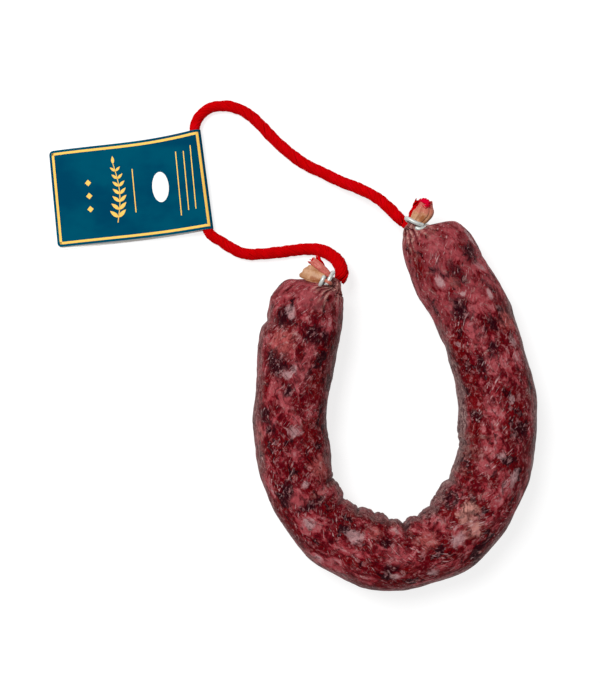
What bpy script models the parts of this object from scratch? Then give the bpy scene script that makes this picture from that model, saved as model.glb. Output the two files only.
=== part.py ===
"""Cured sausage bent into a horseshoe, lying flat, with its hanging string, wire clips and card tag.

The open end of the horseshoe points along +Y and the table is the plane z = 0.
Sizes are in millimetres in the constants below and become metres where a mesh is made.
"""
import math
from typing import NamedTuple

import bmesh
import bpy
from mathutils import Vector

MM = 0.001
GAP = 0.3

# Meat and casing
SIDES = 32
SINK = 0.6
ROUNDNESS = 0.965
TAIL_PITCH = 1.45
BODY_PITCH = 3.1

# Wire of the clips
WIRE = 1.8
CLIP_STEPS = 44
CLIP_START = 55.0
CLIP_END = 465.0
CLIP_SQUARENESS = 0.72

# String
STRING = 4.8
STRING_POINTS = 74

# Folded card tag
CARD = 0.4
TAG_CORNER = 2.0
TAG_ROWS = 6
FOLD_STEPS = 10
BACK_LEAF_SLIP = 1.5
BACK_LEAF_HEIGHT = 0.25
FRONT_LEAF_HEIGHT = 0.95
FOLD_SLACK = 0.2


class Section(NamedTuple):
    """One cross-section: its middle, the way the sausage runs there, and its half sizes."""
    x: float
    y: float
    z: float
    heading: float
    half_width: float
    half_height: float


class Crease(NamedTuple):
    """A pleat across the casing: how far along the arms, where round the section, and its size."""
    along: float
    angle: float
    depth: float
    length: float
    spread: float


# From the cut tip of the left tail, through its neck, to the shoulder of the left arm
LEFT_END = (
    Section(-42.3, 62.0, 25.4, -39, 5.3, 1.1),
    Section(-38.6, 59.8, 25.2, -38, 4.4, 1.5),
    Section(-35.4, 57.9, 24.4, -31, 2.8, 2.2),
    Section(-33.6, 57.0, 23.8, -29, 2.6, 2.3),
    Section(-31.8, 55.9, 23.0, -32, 2.6, 2.3),
    Section(-30.2, 54.6, 22.0, -42, 2.7, 2.4),
    Section(-29.8, 53.1, 21.2, -60, 3.8, 3.1),
    Section(-31.6, 52.2, 20.2, -82, 6.0, 5.2),
    Section(-34.0, 51.9, 19.1, -98, 8.4, 7.6),
    Section(-36.5, 51.7, 18.2, -108, 10.8, 10.4),
    Section(-38.9, 50.9, 17.4, -107, 13.6, 13.6),
    Section(-40.8, 48.4, 17.1, -98, 16.2, 16.2),
)

# Middle of the two arms and the bend, with the half width in plan
BODY = (
    (-42.0, 43.9, 17.8),
    (-43.7, 34.5, 18.3),
    (-46.6, 21.3, 18.9),
    (-48.8, 4.0, 18.0),
    (-50.1, -11.8, 17.7),
    (-48.5, -29.1, 17.6),
    (-44.2, -45.4, 17.1),
    (-38.9, -55.7, 16.9),
    (-31.5, -64.6, 16.7),
    (-21.4, -70.4, 17.5),
    (-10.8, -74.7, 18.1),
    (0.5, -76.8, 17.5),
    (11.7, -75.2, 17.0),
    (22.6, -71.1, 17.4),
    (30.7, -63.2, 18.0),
    (37.9, -54.0, 18.3),
    (43.9, -43.5, 18.3),
    (48.0, -29.1, 18.7),
    (49.4, -12.3, 18.6),
    (47.9, 5.0, 18.4),
    (42.9, 23.2, 18.2),
    (35.5, 42.4, 18.2),
    (26.3, 57.2, 18.2),
)

# From the shoulder of the right arm, through its neck, to the cut tip of the right tail
RIGHT_END = (
    Section(23.5, 64.5, 17.2, 111, 17.7, 17.4),
    Section(20.6, 71.0, 17.3, 109, 17.0, 16.9),
    Section(18.2, 75.5, 17.5, 109, 15.4, 15.0),
    Section(16.2, 78.3, 18.0, 110, 13.4, 12.8),
    Section(14.2, 79.5, 18.9, 107, 10.9, 10.0),
    Section(12.1, 79.7, 19.8, 101, 8.4, 7.3),
    Section(10.0, 79.2, 20.8, 90, 6.0, 5.1),
    Section(8.1, 79.4, 21.6, 68, 3.8, 3.3),
    Section(8.2, 80.9, 22.1, 62, 3.0, 2.7),
    Section(9.5, 83.1, 22.4, 62, 3.0, 2.6),
    Section(12.0, 84.7, 22.5, 66, 4.3, 3.0),
    Section(13.3, 86.8, 22.7, 80, 5.0, 3.6),
    Section(14.3, 90.0, 22.9, 86, 3.5, 3.2),
    Section(14.7, 93.0, 23.1, 88, 2.9, 2.6),
)

# Pleats across the casing, mostly on the inside of the bend where it is gathered
CREASES = (
    Crease(12, 165, 1.3, 2.4, 38),
    Crease(91, 15, 1.2, 2.6, 45),
    Crease(107, 10, 1.3, 2.4, 50),
    Crease(121, 5, 0.7, 2.0, 40),
    Crease(132, 12, 0.8, 2.2, 45),
    Crease(143, 8, 1.2, 2.4, 50),
    Crease(154, 8, 2.2, 2.6, 55),
    Crease(166, 10, 0.8, 2.2, 45),
    Crease(180, 12, 1.2, 2.6, 50),
    Crease(201, 12, 1.3, 2.8, 50),
    Crease(226, 15, 1.0, 2.8, 40),
    Crease(60, 60, 0.6, 3.0, 30),
    Crease(250, 110, 0.6, 3.4, 35),
)

# Middle of the string from the left clip, through the fold of the tag, to the right clip
STRING_ROUTE = (
    (-26.7, 54.2, 13.2),
    (-25.3, 57.3, 13.4),
    (-25.5, 60.9, 12.3),
    (-27.1, 64.4, 10.0),
    (-29.9, 67.4, 7.2),
    (-33.9, 69.7, 4.6),
    (-39.7, 70.8, 2.9),
    (-46.6, 70.5, 2.5),
    (-55.2, 69.4, 2.5),
    (-64.1, 68.4, 2.5),
    (-72.5, 68.6, 2.5),
    (-80.3, 72.0, 2.5),
    (-84.0, 74.6, 2.6),
    (-87.6, 76.6, 2.9),
    (-90.1, 78.9, 3.3),
    (-91.1, 82.0, 3.35),
    (-92.6, 93.5, 3.35),
    (-94.0, 104.6, 3.35),
    (-95.5, 116.0, 3.35),
    (-97.0, 127.6, 3.35),
    (-97.0, 131.4, 3.3),
    (-95.8, 134.6, 2.9),
    (-93.4, 137.6, 2.6),
    (-89.6, 140.2, 2.5),
    (-83.8, 141.3, 2.5),
    (-76.9, 140.3, 2.5),
    (-70.0, 136.6, 2.5),
    (-64.1, 131.2, 2.5),
    (-57.7, 124.3, 2.5),
    (-50.3, 117.9, 2.5),
    (-42.4, 112.2, 2.7),
    (-33.6, 107.9, 3.8),
    (-24.9, 103.4, 6.2),
    (-16.2, 99.6, 9.2),
    (-9.1, 95.6, 11.8),
    (-3.3, 90.6, 13.6),
    (1.6, 85.6, 14.4),
    (4.6, 82.4, 14.4),
)

# Cut ends of the string, under the left tail and beside the right one
LEFT_STRING_END = (
    (-35.0, 59.6, 20.0),
    (-37.0, 62.0, 20.3),
    (-38.9, 65.0, 20.9),
)
LEFT_END_THICKNESS = 4.0
RIGHT_STRING_END = (
    (7.6, 86.2, 19.6),
    (9.3, 89.6, 19.8),
    (10.9, 93.0, 20.4),
)
RIGHT_END_THICKNESS = 2.4

# Free edge of the tag and the line that its fold follows, lower end first
TAG_FREE_EDGE = ((-164.2, 71.9), (-168.6, 118.6))
TAG_FOLD_LINE = ((-90.8, 80.4), (-97.2, 128.9))
TAG_FOLD_HEIGHT = 3.35

SAUSAGE_COLOUR = (0.16, 0.022, 0.03, 1.0)
METAL_COLOUR = (0.75, 0.76, 0.77, 1.0)
STRING_COLOUR = (0.5, 0.003, 0.005, 1.0)
CARD_COLOUR = (0.0, 0.085, 0.13, 1.0)


def clear_scene():
    for item in list(bpy.data.objects):
        bpy.data.objects.remove(item, do_unlink=True)


def make_material(name, colour, roughness, metallic=0.0):
    material = bpy.data.materials.new(name)
    material.use_nodes = True
    shader = material.node_tree.nodes["Principled BSDF"]
    shader.inputs["Base Color"].default_value = colour
    shader.inputs["Roughness"].default_value = roughness
    shader.inputs["Metallic"].default_value = metallic
    return material


def stride(first, second):
    """Distance between two route points, or between two sections with their change in size."""
    growth = second[-1] - first[-1] if len(first) > 3 else 0.0
    return math.hypot(math.dist(first[:3], second[:3]), growth)


def smooth_curve(points, places):
    """Read points or sections at places from 0 to 1 of the smooth curve through them."""
    marks = [0.0]
    for first, second in zip(points, points[1:]):
        marks.append(marks[-1] + stride(first, second))
    slopes = []
    for index in range(len(points)):
        before = max(index - 1, 0)
        after = min(index + 1, len(points) - 1)
        span = marks[after] - marks[before]
        slopes.append([(b - a) / span for a, b in zip(points[before], points[after])])
    read = []
    for place in places:
        mark = place * marks[-1]
        index = 0
        while index < len(points) - 2 and marks[index + 1] < mark:
            index += 1
        span = marks[index + 1] - marks[index]
        t = (mark - marks[index]) / span
        weights = (
            2 * t**3 - 3 * t**2 + 1,
            (t**3 - 2 * t**2 + t) * span,
            3 * t**2 - 2 * t**3,
            (t**3 - t**2) * span,
        )
        parts = (points[index], slopes[index], points[index + 1], slopes[index + 1])
        read.append(tuple(
            sum(weight * part[axis] for weight, part in zip(weights, parts))
            for axis in range(len(points[0]))
        ))
    return read


def even_places(points, pitch):
    """Places from 0 to 1 about one pitch apart along the points."""
    length = sum(stride(first, second) for first, second in zip(points, points[1:]))
    steps = max(2, round(length / pitch))
    return [index / steps for index in range(steps + 1)]


def body_sections():
    """Sections of the arms and the bend, each square to the middle line."""
    sections = []
    for index, (x, y, half_width) in enumerate(BODY):
        before = BODY[max(index - 1, 0)]
        after = BODY[min(index + 1, len(BODY) - 1)]
        heading = math.degrees(math.atan2(after[1] - before[1], after[0] - before[0]))
        if heading < -150.0:
            heading += 360.0
        half_height = half_width * ROUNDNESS
        sections.append(Section(x, y, half_height - SINK, heading, half_width, half_height))
    return sections


def sausage_rings():
    """All rings from tail to tail, and how far along the arms each one is (None at the ends)."""
    body = body_sections()
    spans = (
        (list(LEFT_END) + body[:1], TAIL_PITCH, False),
        (body, BODY_PITCH, True),
        (body[-1:] + list(RIGHT_END), TAIL_PITCH, False),
    )
    rings = []
    for sections, pitch, on_arms in spans:
        places = even_places(sections, pitch)
        if rings:
            places = places[1:]
        for ring in smooth_curve(sections, places):
            rings.append((Section(*ring), on_arms))
    along = 0.0
    placed = []
    for index, (ring, on_arms) in enumerate(rings):
        if on_arms:
            along += math.dist(ring[:2], rings[index - 1][0][:2])
        placed.append((ring, along if on_arms else None))
    return placed


def turn_between(first, second):
    """Smallest turn in degrees between two angles."""
    return abs((first - second + 180.0) % 360.0 - 180.0)


def lumps(along, angle):
    """Soft unevenness of the minced meat under the casing, in mm."""
    turn = math.radians(angle)
    slow = 0.30 * math.sin(along / 9.0 + 2.0 * turn) + 0.22 * math.sin(along / 5.3 - 3.0 * turn + 1.0)
    return slow + 0.16 * math.sin(along / 3.1 + 4.0 * turn + 2.4)


def clear_of_table(turn):
    """Share of the unevenness that is left: none on the underside, which lies flat on the table."""
    return 1.0 - max(-math.sin(turn), 0.0) ** 3


def crease_depth(along, angle):
    """Depth in mm of all pleats at one place of the casing."""
    depth = 0.0
    for crease in CREASES:
        across = (along - crease.along) / crease.length
        around = turn_between(angle, crease.angle) / crease.spread
        if abs(across) < 3.0 and around < 3.0:
            depth += crease.depth * math.exp(-across * across - around * around)
    return depth


def gather(ring, angle):
    """Folds of the casing that run to a neck, as a share of the section's size."""
    slimness = 1.0 - min(ring.half_height / 15.0, 1.0)
    strength = 0.085 * slimness * (1.0 - slimness) * 4.0
    return strength * math.cos(math.radians(9.0 * angle + 25.0))


def ring_point(ring, along, angle):
    """Point of the casing on one ring, in mm."""
    turn = math.radians(angle)
    relief = gather(ring, angle) * ring.half_height
    if along is not None:
        relief += (lumps(along, angle) - crease_depth(along, angle)) * clear_of_table(turn)
    heading = math.radians(ring.heading)
    sideways = Vector((-math.sin(heading), math.cos(heading), 0.0))
    middle = Vector((ring.x, ring.y, ring.z))
    reach = (ring.half_width + relief) * math.cos(turn)
    rise = (ring.half_height + relief) * math.sin(turn)
    point = middle + sideways * reach + Vector((0.0, 0.0, rise))
    point.z = max(point.z, 0.0)
    return point


def make_mesh_object(name, shape, material, collection, sharp_angle):
    mesh = bpy.data.meshes.new(name)
    shape.to_mesh(mesh)
    shape.free()
    mesh.materials.append(material)
    mesh.shade_smooth()
    mesh.set_sharp_from_angle(angle=math.radians(sharp_angle))
    item = bpy.data.objects.new(name, mesh)
    collection.objects.link(item)
    return item


def make_sausage(collection):
    """Cylinder cut into rings, each ring laid on its section of the sausage."""
    rings = sausage_rings()
    shape = bmesh.new()
    bmesh.ops.create_cone(
        shape, cap_ends=True, segments=SIDES, radius1=1.0, radius2=1.0, depth=1.0)
    long_edges = [edge for edge in shape.edges if abs(edge.verts[0].co.z - edge.verts[1].co.z) > 0.5]
    bmesh.ops.subdivide_edges(shape, edges=long_edges, cuts=len(rings) - 2, use_grid_fill=True)
    for vertex in shape.verts:
        index = round((vertex.co.z + 0.5) * (len(rings) - 1))
        angle = math.degrees(math.atan2(vertex.co.y, vertex.co.x)) % 360.0
        ring, along = rings[index]
        vertex.co = ring_point(ring, along, angle) * MM
    material = make_material("sausage_casing", SAUSAGE_COLOUR, 0.45)
    return make_mesh_object("sausage", shape, material, collection, 60.0)


def make_tube(name, points, thickness, resolution, material, collection):
    """Round bar of one thickness along points given in mm."""
    curve = bpy.data.curves.new(name, "CURVE")
    curve.dimensions = "3D"
    curve.bevel_depth = thickness / 2.0 * MM
    curve.bevel_resolution = resolution
    curve.use_fill_caps = True
    spline = curve.splines.new("POLY")
    spline.points.add(len(points) - 1)
    for place, point in zip(spline.points, points):
        place.co = (*(value * MM for value in point), 1.0)
    curve.materials.append(material)
    item = bpy.data.objects.new(name, curve)
    collection.objects.link(item)
    return item


def clip_route(middle, heading, pitch, half_width, half_height, lean):
    """Flattened turn of wire round a neck whose ends pass each other on the top."""
    along = Vector((math.cos(math.radians(heading)), math.sin(math.radians(heading)), 0.0))
    sideways = Vector((-along.y, along.x, 0.0))
    points = []
    for index in range(CLIP_STEPS + 1):
        angle = math.radians(CLIP_START + (CLIP_END - CLIP_START) * index / CLIP_STEPS)
        share = index / CLIP_STEPS - 0.5
        cosine = math.cos(angle)
        sine = math.sin(angle)
        reach = math.copysign(abs(cosine) ** CLIP_SQUARENESS, cosine) * half_width
        rise = math.copysign(abs(sine) ** CLIP_SQUARENESS, sine) * half_height
        point = Vector(middle) + along * (pitch * share) + sideways * (reach + lean * share)
        points.append((point.x, point.y, point.z + rise))
    return points


def make_clips(collection):
    material = make_material("clip_wire", METAL_COLOUR, 0.35, 1.0)
    left = clip_route((-32.7, 56.55, 23.6), 152.0, -2.9, 3.95, 3.65, -0.8)
    right = clip_route((8.95, 82.2, 22.3), 62.0, -2.5, 4.4, 4.0, 0.0)
    make_tube("clip_left", left, WIRE, 2, material, collection)
    make_tube("clip_right", right, WIRE, 2, material, collection)


def make_string(collection):
    material = make_material("string_yarn", STRING_COLOUR, 0.9)
    places = [index / (STRING_POINTS - 1) for index in range(STRING_POINTS)]
    route = smooth_curve(STRING_ROUTE, places)
    make_tube("string", route, STRING, 2, material, collection)
    ends = (
        ("string_end_left", LEFT_STRING_END, LEFT_END_THICKNESS),
        ("string_end_right", RIGHT_STRING_END, RIGHT_END_THICKNESS),
    )
    for name, points, thickness in ends:
        route = smooth_curve(points, [index / 6.0 for index in range(7)])
        make_tube(name, route, thickness, 3, material, collection)


def tag_profile(length):
    """Middle of the card from the back leaf's free edge, round the fold, to the front leaf's free edge.

    Each entry is the distance from the free edge, the height, and the leaf (0 back, 1 front).
    """
    radius = STRING / 2.0 + GAP + CARD / 2.0 + FOLD_SLACK
    rises = [0.0, 0.3, 1.0, TAG_CORNER, 20.0, 45.0]
    profile = [(distance, BACK_LEAF_HEIGHT, 0.0) for distance in rises]
    drop = TAG_FOLD_HEIGHT + radius - FRONT_LEAF_HEIGHT
    tilt = math.atan2(drop, length)
    for index in range(FOLD_STEPS + 1):
        share = index / FOLD_STEPS
        angle = -math.pi / 2.0 + share * (math.pi + tilt)
        across = length + radius * math.cos(angle)
        profile.append((across, TAG_FOLD_HEIGHT + radius * math.sin(angle), share))
    top_across, top_height, _ = profile[-1]
    for distance in reversed(rises):
        height = FRONT_LEAF_HEIGHT + (top_height - FRONT_LEAF_HEIGHT) * distance / top_across
        profile.append((distance, height, 1.0))
    return profile


def make_tag(collection):
    """Card folded over the string, from a flat grid bent to the profile and given its thickness."""
    columns = len(tag_profile(1.0))
    shape = bmesh.new()
    bmesh.ops.create_grid(shape, x_segments=columns - 1, y_segments=TAG_ROWS, size=0.5)
    for vertex in shape.verts:
        column = round((vertex.co.x + 0.5) * (columns - 1))
        share = vertex.co.y + 0.5
        free = Vector(TAG_FREE_EDGE[0]).lerp(Vector(TAG_FREE_EDGE[1]), share)
        fold = Vector(TAG_FOLD_LINE[0]).lerp(Vector(TAG_FOLD_LINE[1]), share)
        across = (fold - free).normalized()
        upward = (Vector(TAG_FREE_EDGE[1]) - Vector(TAG_FREE_EDGE[0])).normalized()
        distance, height, leaf = tag_profile((fold - free).length)[column]
        into_corner = max(TAG_CORNER - distance, 0.0)
        cut = TAG_CORNER - math.sqrt(TAG_CORNER**2 - into_corner**2)
        slip = -BACK_LEAF_SLIP * (1.0 - leaf) * (1.0 - min(distance / (fold - free).length, 1.0))
        place = free + across * distance + upward * (slip - cut * (2.0 * share - 1.0))
        vertex.co = Vector((place.x, place.y, height)) * MM
    material = make_material("tag_card", CARD_COLOUR, 0.4)
    tag = make_mesh_object("tag", shape, material, collection, 40.0)
    thickness = tag.modifiers.new("card_thickness", "SOLIDIFY")
    thickness.thickness = CARD * MM
    thickness.offset = 0.0
    thickness.use_even_offset = True
    return tag


def main():
    clear_scene()
    collection = bpy.data.collections.new("cured_sausage")
    bpy.context.scene.collection.children.link(collection)
    make_sausage(collection)
    make_clips(collection)
    make_string(collection)
    make_tag(collection)


main()
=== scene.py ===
"""Looks of a cured sausage: meat under its casing, tied tails, wire clips, yarn string and card tag.

Sizes in the constants are millimetres in the frame's axes, and become metres where a mesh is made.
"""
import math
import random
from typing import NamedTuple

import bmesh
import bpy
import numpy as np
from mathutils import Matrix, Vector


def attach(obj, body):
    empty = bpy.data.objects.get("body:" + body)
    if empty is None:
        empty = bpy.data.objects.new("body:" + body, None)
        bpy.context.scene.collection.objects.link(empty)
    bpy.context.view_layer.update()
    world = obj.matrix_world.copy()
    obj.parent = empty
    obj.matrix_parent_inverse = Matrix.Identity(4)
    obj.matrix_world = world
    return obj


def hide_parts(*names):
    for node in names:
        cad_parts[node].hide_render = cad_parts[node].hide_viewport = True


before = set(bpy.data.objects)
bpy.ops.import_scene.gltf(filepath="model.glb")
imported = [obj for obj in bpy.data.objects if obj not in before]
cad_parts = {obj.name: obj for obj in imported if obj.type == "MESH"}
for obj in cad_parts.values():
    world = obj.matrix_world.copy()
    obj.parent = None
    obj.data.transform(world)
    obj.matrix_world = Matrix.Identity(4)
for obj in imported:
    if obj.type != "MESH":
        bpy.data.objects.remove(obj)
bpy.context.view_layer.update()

bl_info = {
    "name": "Cured Sausage",
    "version": (1, 0, 0),
    "blender": (4, 5, 0),
    "location": "View3D > Sidebar > Sausage",
    "description": "Dresses the packed cured sausage with its casing, tails, clips, string and tag",
    "category": "Add Mesh",
}

MM = 0.001
BODY_NAME = "root"

# Camera: a pixel of the photograph covers PIXEL at SHARP_HEIGHT above the floor
PHOTO_WIDTH = 600
CAMERA_HEIGHT = 600.0
SHARP_HEIGHT = 17.0
PIXEL = 0.48
SENSOR = 36.0
VIEW_MIDDLE = (-45.4, 25.4)

# Floor and lamp, in metres
FLOOR_SIZE = 4.0
FLOOR_GLOW = 0.77
LAMP_PLACE = (-0.42, 0.42, 1.0)
LAMP_SIZE = 0.5

# Casing: how far it sinks flat on the table and its height as a share of its width
SINK = 0.6
ROUNDNESS = 0.965

# Stations where the necks end and where the clips sit
NECK_STATION = 3
NECK_STATION_RIGHT = 9
CLIP_STATION = 5
CLIP_STATION_RIGHT = 8

# Runs along the casing, from where the left arm begins
FADE_IN = 7.0
RIGHT_END_RUN = 60.0
BEND_MIDDLE = 160.0
BEND_REACH = 62.0
GATHERED_FROM = 84.0
GATHERED_TO = 238.0
# Where the dry casing on the sides, with its painted sheen, is strongest along the arms, and how far it
# reaches
SHEEN_VEIL_MIDDLE = 232.0
SHEEN_VEIL_REACH = 48.0

# Fine pleats on the inside of the bend and folds round each clip
FINE_PLEATS = 70
CLIP_FOLDS = 21
CLIP_FOLD_REACH = 40.0

# How fast a patch of fat or lean fades from its middle
PATCH_FALL = 0.56

# Wall of the dry casing beyond the clips
TAIL_WALL = 0.3

# Wire of the clips
WIRE = 1.95

# String: its yarn spreads once it is past the tag's fold, between two places in x
STRING = 4.8
YARN_STEP = 1.15
YARN_SPREAD = 0.12
YARN_SPREAD_FROM = -88.0
YARN_SPREAD_TO = -80.0
WAVER_STEPS = 5
HAIR_LENGTH = 0.9
HAIR_ROOT = 0.53
HAIR_GIRTH = 0.05

# Folded card tag
CARD = 0.4
CARD_ROWS = 40
LEAF_STEPS = 26
FOLD_STEPS = 16
TAG_CORNER = 2.0
BACK_LEAF_SLIP = 1.5
BACK_LEAF_HEIGHT = 0.25
FRONT_LEAF_HEIGHT = 0.95
FOLD_SLACK = 0.05
GAP = 0.3
FOLD_REACH = STRING / 2.0 + GAP + CARD + FOLD_SLACK
PRINT_LIFT = 0.03
INK = 0.04

# Points closer than this become one where a seam is closed
MERGE = 0.0005


class Station(NamedTuple):
    """One cross-section: its middle, the way the sausage runs there, and its half sizes."""
    x: float
    y: float
    z: float
    heading: float
    half_width: float
    half_height: float


class Crease(NamedTuple):
    """A pleat across the casing: how far along the arms, where round the section, and its size."""
    along: float
    angle: float
    depth: float
    length: float
    spread: float


# From the flap of the left tail over its neck to the shoulder of the left arm
LEFT_END = (
    Station(-44.1, 59.3, 25.8, -44, 3.7, 1.0), Station(-39.9, 57.3, 26.2, -33, 4.0, 1.3),
    Station(-36.7, 55.6, 26.6, -29, 3.6, 1.8), Station(-34.1, 55.5, 26.5, -29, 2.7, 2.2),
    Station(-32.4, 54.7, 26.3, -30, 2.6, 2.3), Station(-30.8, 53.6, 25.7, -38, 2.8, 2.5),
    Station(-30.0, 52.6, 24.6, -66, 3.9, 3.1), Station(-31.7, 51.8, 22.8, -100, 6.1, 5.2),
    Station(-33.6, 51.8, 20.6, -110, 8.9, 7.8), Station(-35.9, 51.4, 18.8, -109, 11.7, 10.8),
    Station(-38.4, 50.9, 17.5, -107, 14.1, 13.8), Station(-40.6, 48.4, 17.1, -98, 16.4, 16.2),
)

# Middle of the two arms and the bend, with the half width in plan
BODY = (
    (-42.0, 43.9, 17.8), (-43.7, 34.5, 18.3), (-46.6, 21.3, 18.9), (-48.8, 4.0, 18.0),
    (-50.1, -11.8, 17.7), (-48.5, -29.1, 17.6), (-44.2, -45.4, 17.1), (-38.9, -55.7, 16.9),
    (-31.5, -64.6, 16.7), (-21.4, -70.4, 17.5), (-10.8, -74.7, 18.1), (0.5, -76.8, 17.5),
    (11.7, -75.2, 17.0), (22.6, -71.1, 17.4), (30.7, -63.2, 18.0), (37.9, -54.0, 18.3),
    (43.9, -43.5, 18.3), (48.0, -29.1, 18.7), (49.4, -12.3, 18.6), (47.9, 5.0, 18.4),
    (42.9, 23.2, 18.2), (35.5, 42.4, 18.2), (26.3, 57.2, 18.2),
)

# From the shoulder of the right arm over its neck to the cut tip of the right tail
RIGHT_END = (
    Station(23.5, 64.5, 17.2, 111, 17.7, 17.4), Station(20.6, 71.0, 17.3, 109, 17.0, 16.9),
    Station(18.2, 75.5, 17.5, 109, 15.4, 15.0), Station(16.2, 78.3, 18.0, 110, 13.4, 12.8),
    Station(14.2, 79.5, 18.9, 107, 10.9, 10.0), Station(12.1, 79.7, 19.8, 101, 8.4, 7.3),
    Station(9.8, 78.7, 21.8, 90, 6.0, 5.1), Station(8.0, 78.8, 23.2, 72, 4.0, 3.4),
    Station(8.4, 79.9, 23.9, 64, 3.3, 2.8), Station(9.5, 81.7, 24.0, 64, 3.4, 2.6),
    Station(11.7, 84.3, 23.4, 66, 4.4, 3.1), Station(13.3, 86.8, 22.7, 80, 5.0, 3.6),
    Station(14.3, 90.0, 22.9, 86, 3.5, 3.2), Station(14.7, 93.0, 23.1, 88, 2.9, 2.6),
)

# Pleats across the casing, mostly on the inside of the bend where it is gathered
CREASES = (
    Crease(12, 165, 1.3, 2.4, 38), Crease(91, 15, 1.2, 2.6, 45), Crease(107, 10, 1.3, 2.4, 50),
    Crease(121, 5, 0.7, 2.0, 40), Crease(132, 12, 0.8, 2.2, 45), Crease(143, 8, 1.2, 2.4, 50),
    Crease(154, 8, 2.2, 2.6, 55), Crease(166, 10, 0.8, 2.2, 45), Crease(180, 12, 1.2, 2.6, 50),
    Crease(201, 12, 1.3, 2.8, 50), Crease(226, 15, 1.0, 2.8, 40), Crease(60, 60, 0.6, 3.0, 30),
    Crease(250, 110, 0.6, 3.4, 35),
)

# Middle of the string from the left clip, through the fold of the tag, to the right clip
STRING_ROUTE = (
    (-26.7, 54.2, 13.2), (-25.3, 57.3, 13.4), (-25.5, 60.9, 12.3), (-27.1, 64.4, 10.0),
    (-29.9, 67.4, 7.2), (-33.9, 69.7, 4.6), (-39.7, 70.8, 2.9), (-46.6, 70.5, 2.5),
    (-55.2, 69.4, 2.5), (-64.1, 68.4, 2.5), (-72.5, 68.6, 2.5), (-80.3, 72.0, 2.5),
    (-84.0, 74.6, 2.6), (-87.6, 76.6, 2.9), (-90.1, 78.9, 3.3), (-91.1, 82.0, 3.35),
    (-92.6, 93.5, 3.35), (-94.0, 104.6, 3.35), (-95.5, 116.0, 3.35), (-97.0, 127.6, 3.35),
    (-97.0, 131.4, 3.3), (-95.8, 134.6, 2.9), (-93.4, 137.6, 2.6), (-89.6, 140.2, 2.5),
    (-83.8, 141.3, 2.5), (-76.9, 140.3, 2.5), (-70.0, 136.6, 2.5), (-64.1, 131.2, 2.5),
    (-57.7, 124.3, 2.5), (-50.3, 117.9, 2.5), (-42.4, 112.2, 2.7), (-33.6, 107.9, 3.8),
    (-24.9, 103.4, 6.2), (-16.2, 99.6, 9.2), (-9.1, 95.6, 11.8), (-3.3, 90.6, 13.6),
    (1.6, 85.6, 14.4), (4.6, 82.4, 14.4),
)

# Rolled strip of stained casing beside the left flap
LEFT_STRIP = (
    Station(-31.3, 55.9, 27.2, 135, 1.3, 1.3), Station(-32.9, 57.8, 27.4, 138, 1.7, 1.4),
    Station(-36.1, 60.7, 27.2, 139, 1.85, 1.3), Station(-38.6, 62.8, 26.7, 141, 1.8, 1.1),
    Station(-40.1, 64.0, 26.2, 142, 1.7, 1.0),
)

# Cut ends of the string, under the left tail and beside the right one, and the curl over the right one
LEFT_STRING_END = ((-35.2, 59.6, 20.4), (-37.0, 62.2, 21.0), (-39.6, 65.2, 21.8))
RIGHT_STRING_END = (
    (3.4, 83.4, 14.6), (6.2, 81.5, 15.2), (8.2, 83.0, 17.4), (8.8, 85.6, 18.6), (10.4, 88.6, 19.2),
    (11.3, 91.2, 20.6), (11.9, 93.4, 22.2),
)
FRAYED_CURL = (
    (11.9, 91.9, 23.0), (13.2, 92.2, 25.0), (14.8, 91.3, 26.0), (15.2, 90.1, 26.4),
    (14.2, 89.4, 26.6), (13.1, 90.1, 26.2),
)

# Thickness of the cut ends and of the curl, and the length in which their strands turn round once
LEFT_END_THICKNESS = 4.8
RIGHT_END_THICKNESS = 4.0
END_LEAD = 16.0
CURL_THICKNESS = 2.4
CURL_LEAD = 7.0

# Fold of casing that bulges over the left clip
PINCHED_FOLD = (
    (-33.9, 54.4, 28.4), (-33.1, 53.9, 29.9), (-32.2, 53.4, 30.5), (-31.3, 52.9, 29.4),
    (-31.0, 52.6, 27.4),
)
PINCHED_RADIUS = 1.0

# Brown marks on the flap and on the cut bag: x, y, radius
FLAP_SPOTS = ((-39.7, 55.3, 1.7), (-38.6, 54.6, 2.1), (-37.3, 54.1, 1.5), (-36.5, 52.9, 2.9))
BAG_SPOTS = ((12.2, 83.4, 2.6),)

# Middle of the wire of the two clips
LEFT_CLIP = (
    (-33.8, 56.4, 29.7), (-34.8, 54.3, 30.3), (-35.9, 52.0, 29.2), (-36.0, 51.4, 26.3),
    (-33.6, 54.3, 22.8), (-30.6, 57.5, 24.3), (-29.8, 57.9, 27.3), (-30.6, 56.5, 29.9),
    (-31.8, 54.3, 30.4), (-33.2, 51.9, 29.7),
)
RIGHT_CLIP = (
    (13.1, 80.0, 27.6), (9.1, 81.3, 28.4), (5.7, 83.2, 27.4), (5.0, 83.8, 24.4), (6.7, 82.6, 20.8),
    (12.4, 79.9, 20.6), (14.8, 80.4, 23.6), (14.3, 79.6, 26.6), (11.5, 78.4, 28.0),
    (8.7, 79.1, 27.6),
)

# Free edge of the tag and the line that its fold follows, lower end first
TAG_FREE_EDGE = ((-164.8, 71.8), (-169.2, 119.1))
TAG_FOLD_LINE = ((-91.0, 80.4), (-97.4, 128.9))
TAG_FOLD_HEIGHT = 3.35
CARD_HEIGHT = 47.9

# Printed shapes on the card, by their distance from its free edge and their height on it
OVAL_MIDDLE = (53.6, 23.8)
OVAL_HALF_SIZES = (4.1, 7.4)
DIAMOND_MIDDLES = ((18.0, 17.0), (18.0, 23.5), (18.0, 30.0))
DIAMOND_HALF = 1.6
RULES = ((40.4, 13.0, 34.5), (62.6, 8.5, 39.5), (66.4, 10.5, 39.0), (70.0, 10.5, 41.0))
RULE_WIDTH = 0.5
STEM_WIDTH = 0.42

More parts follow.
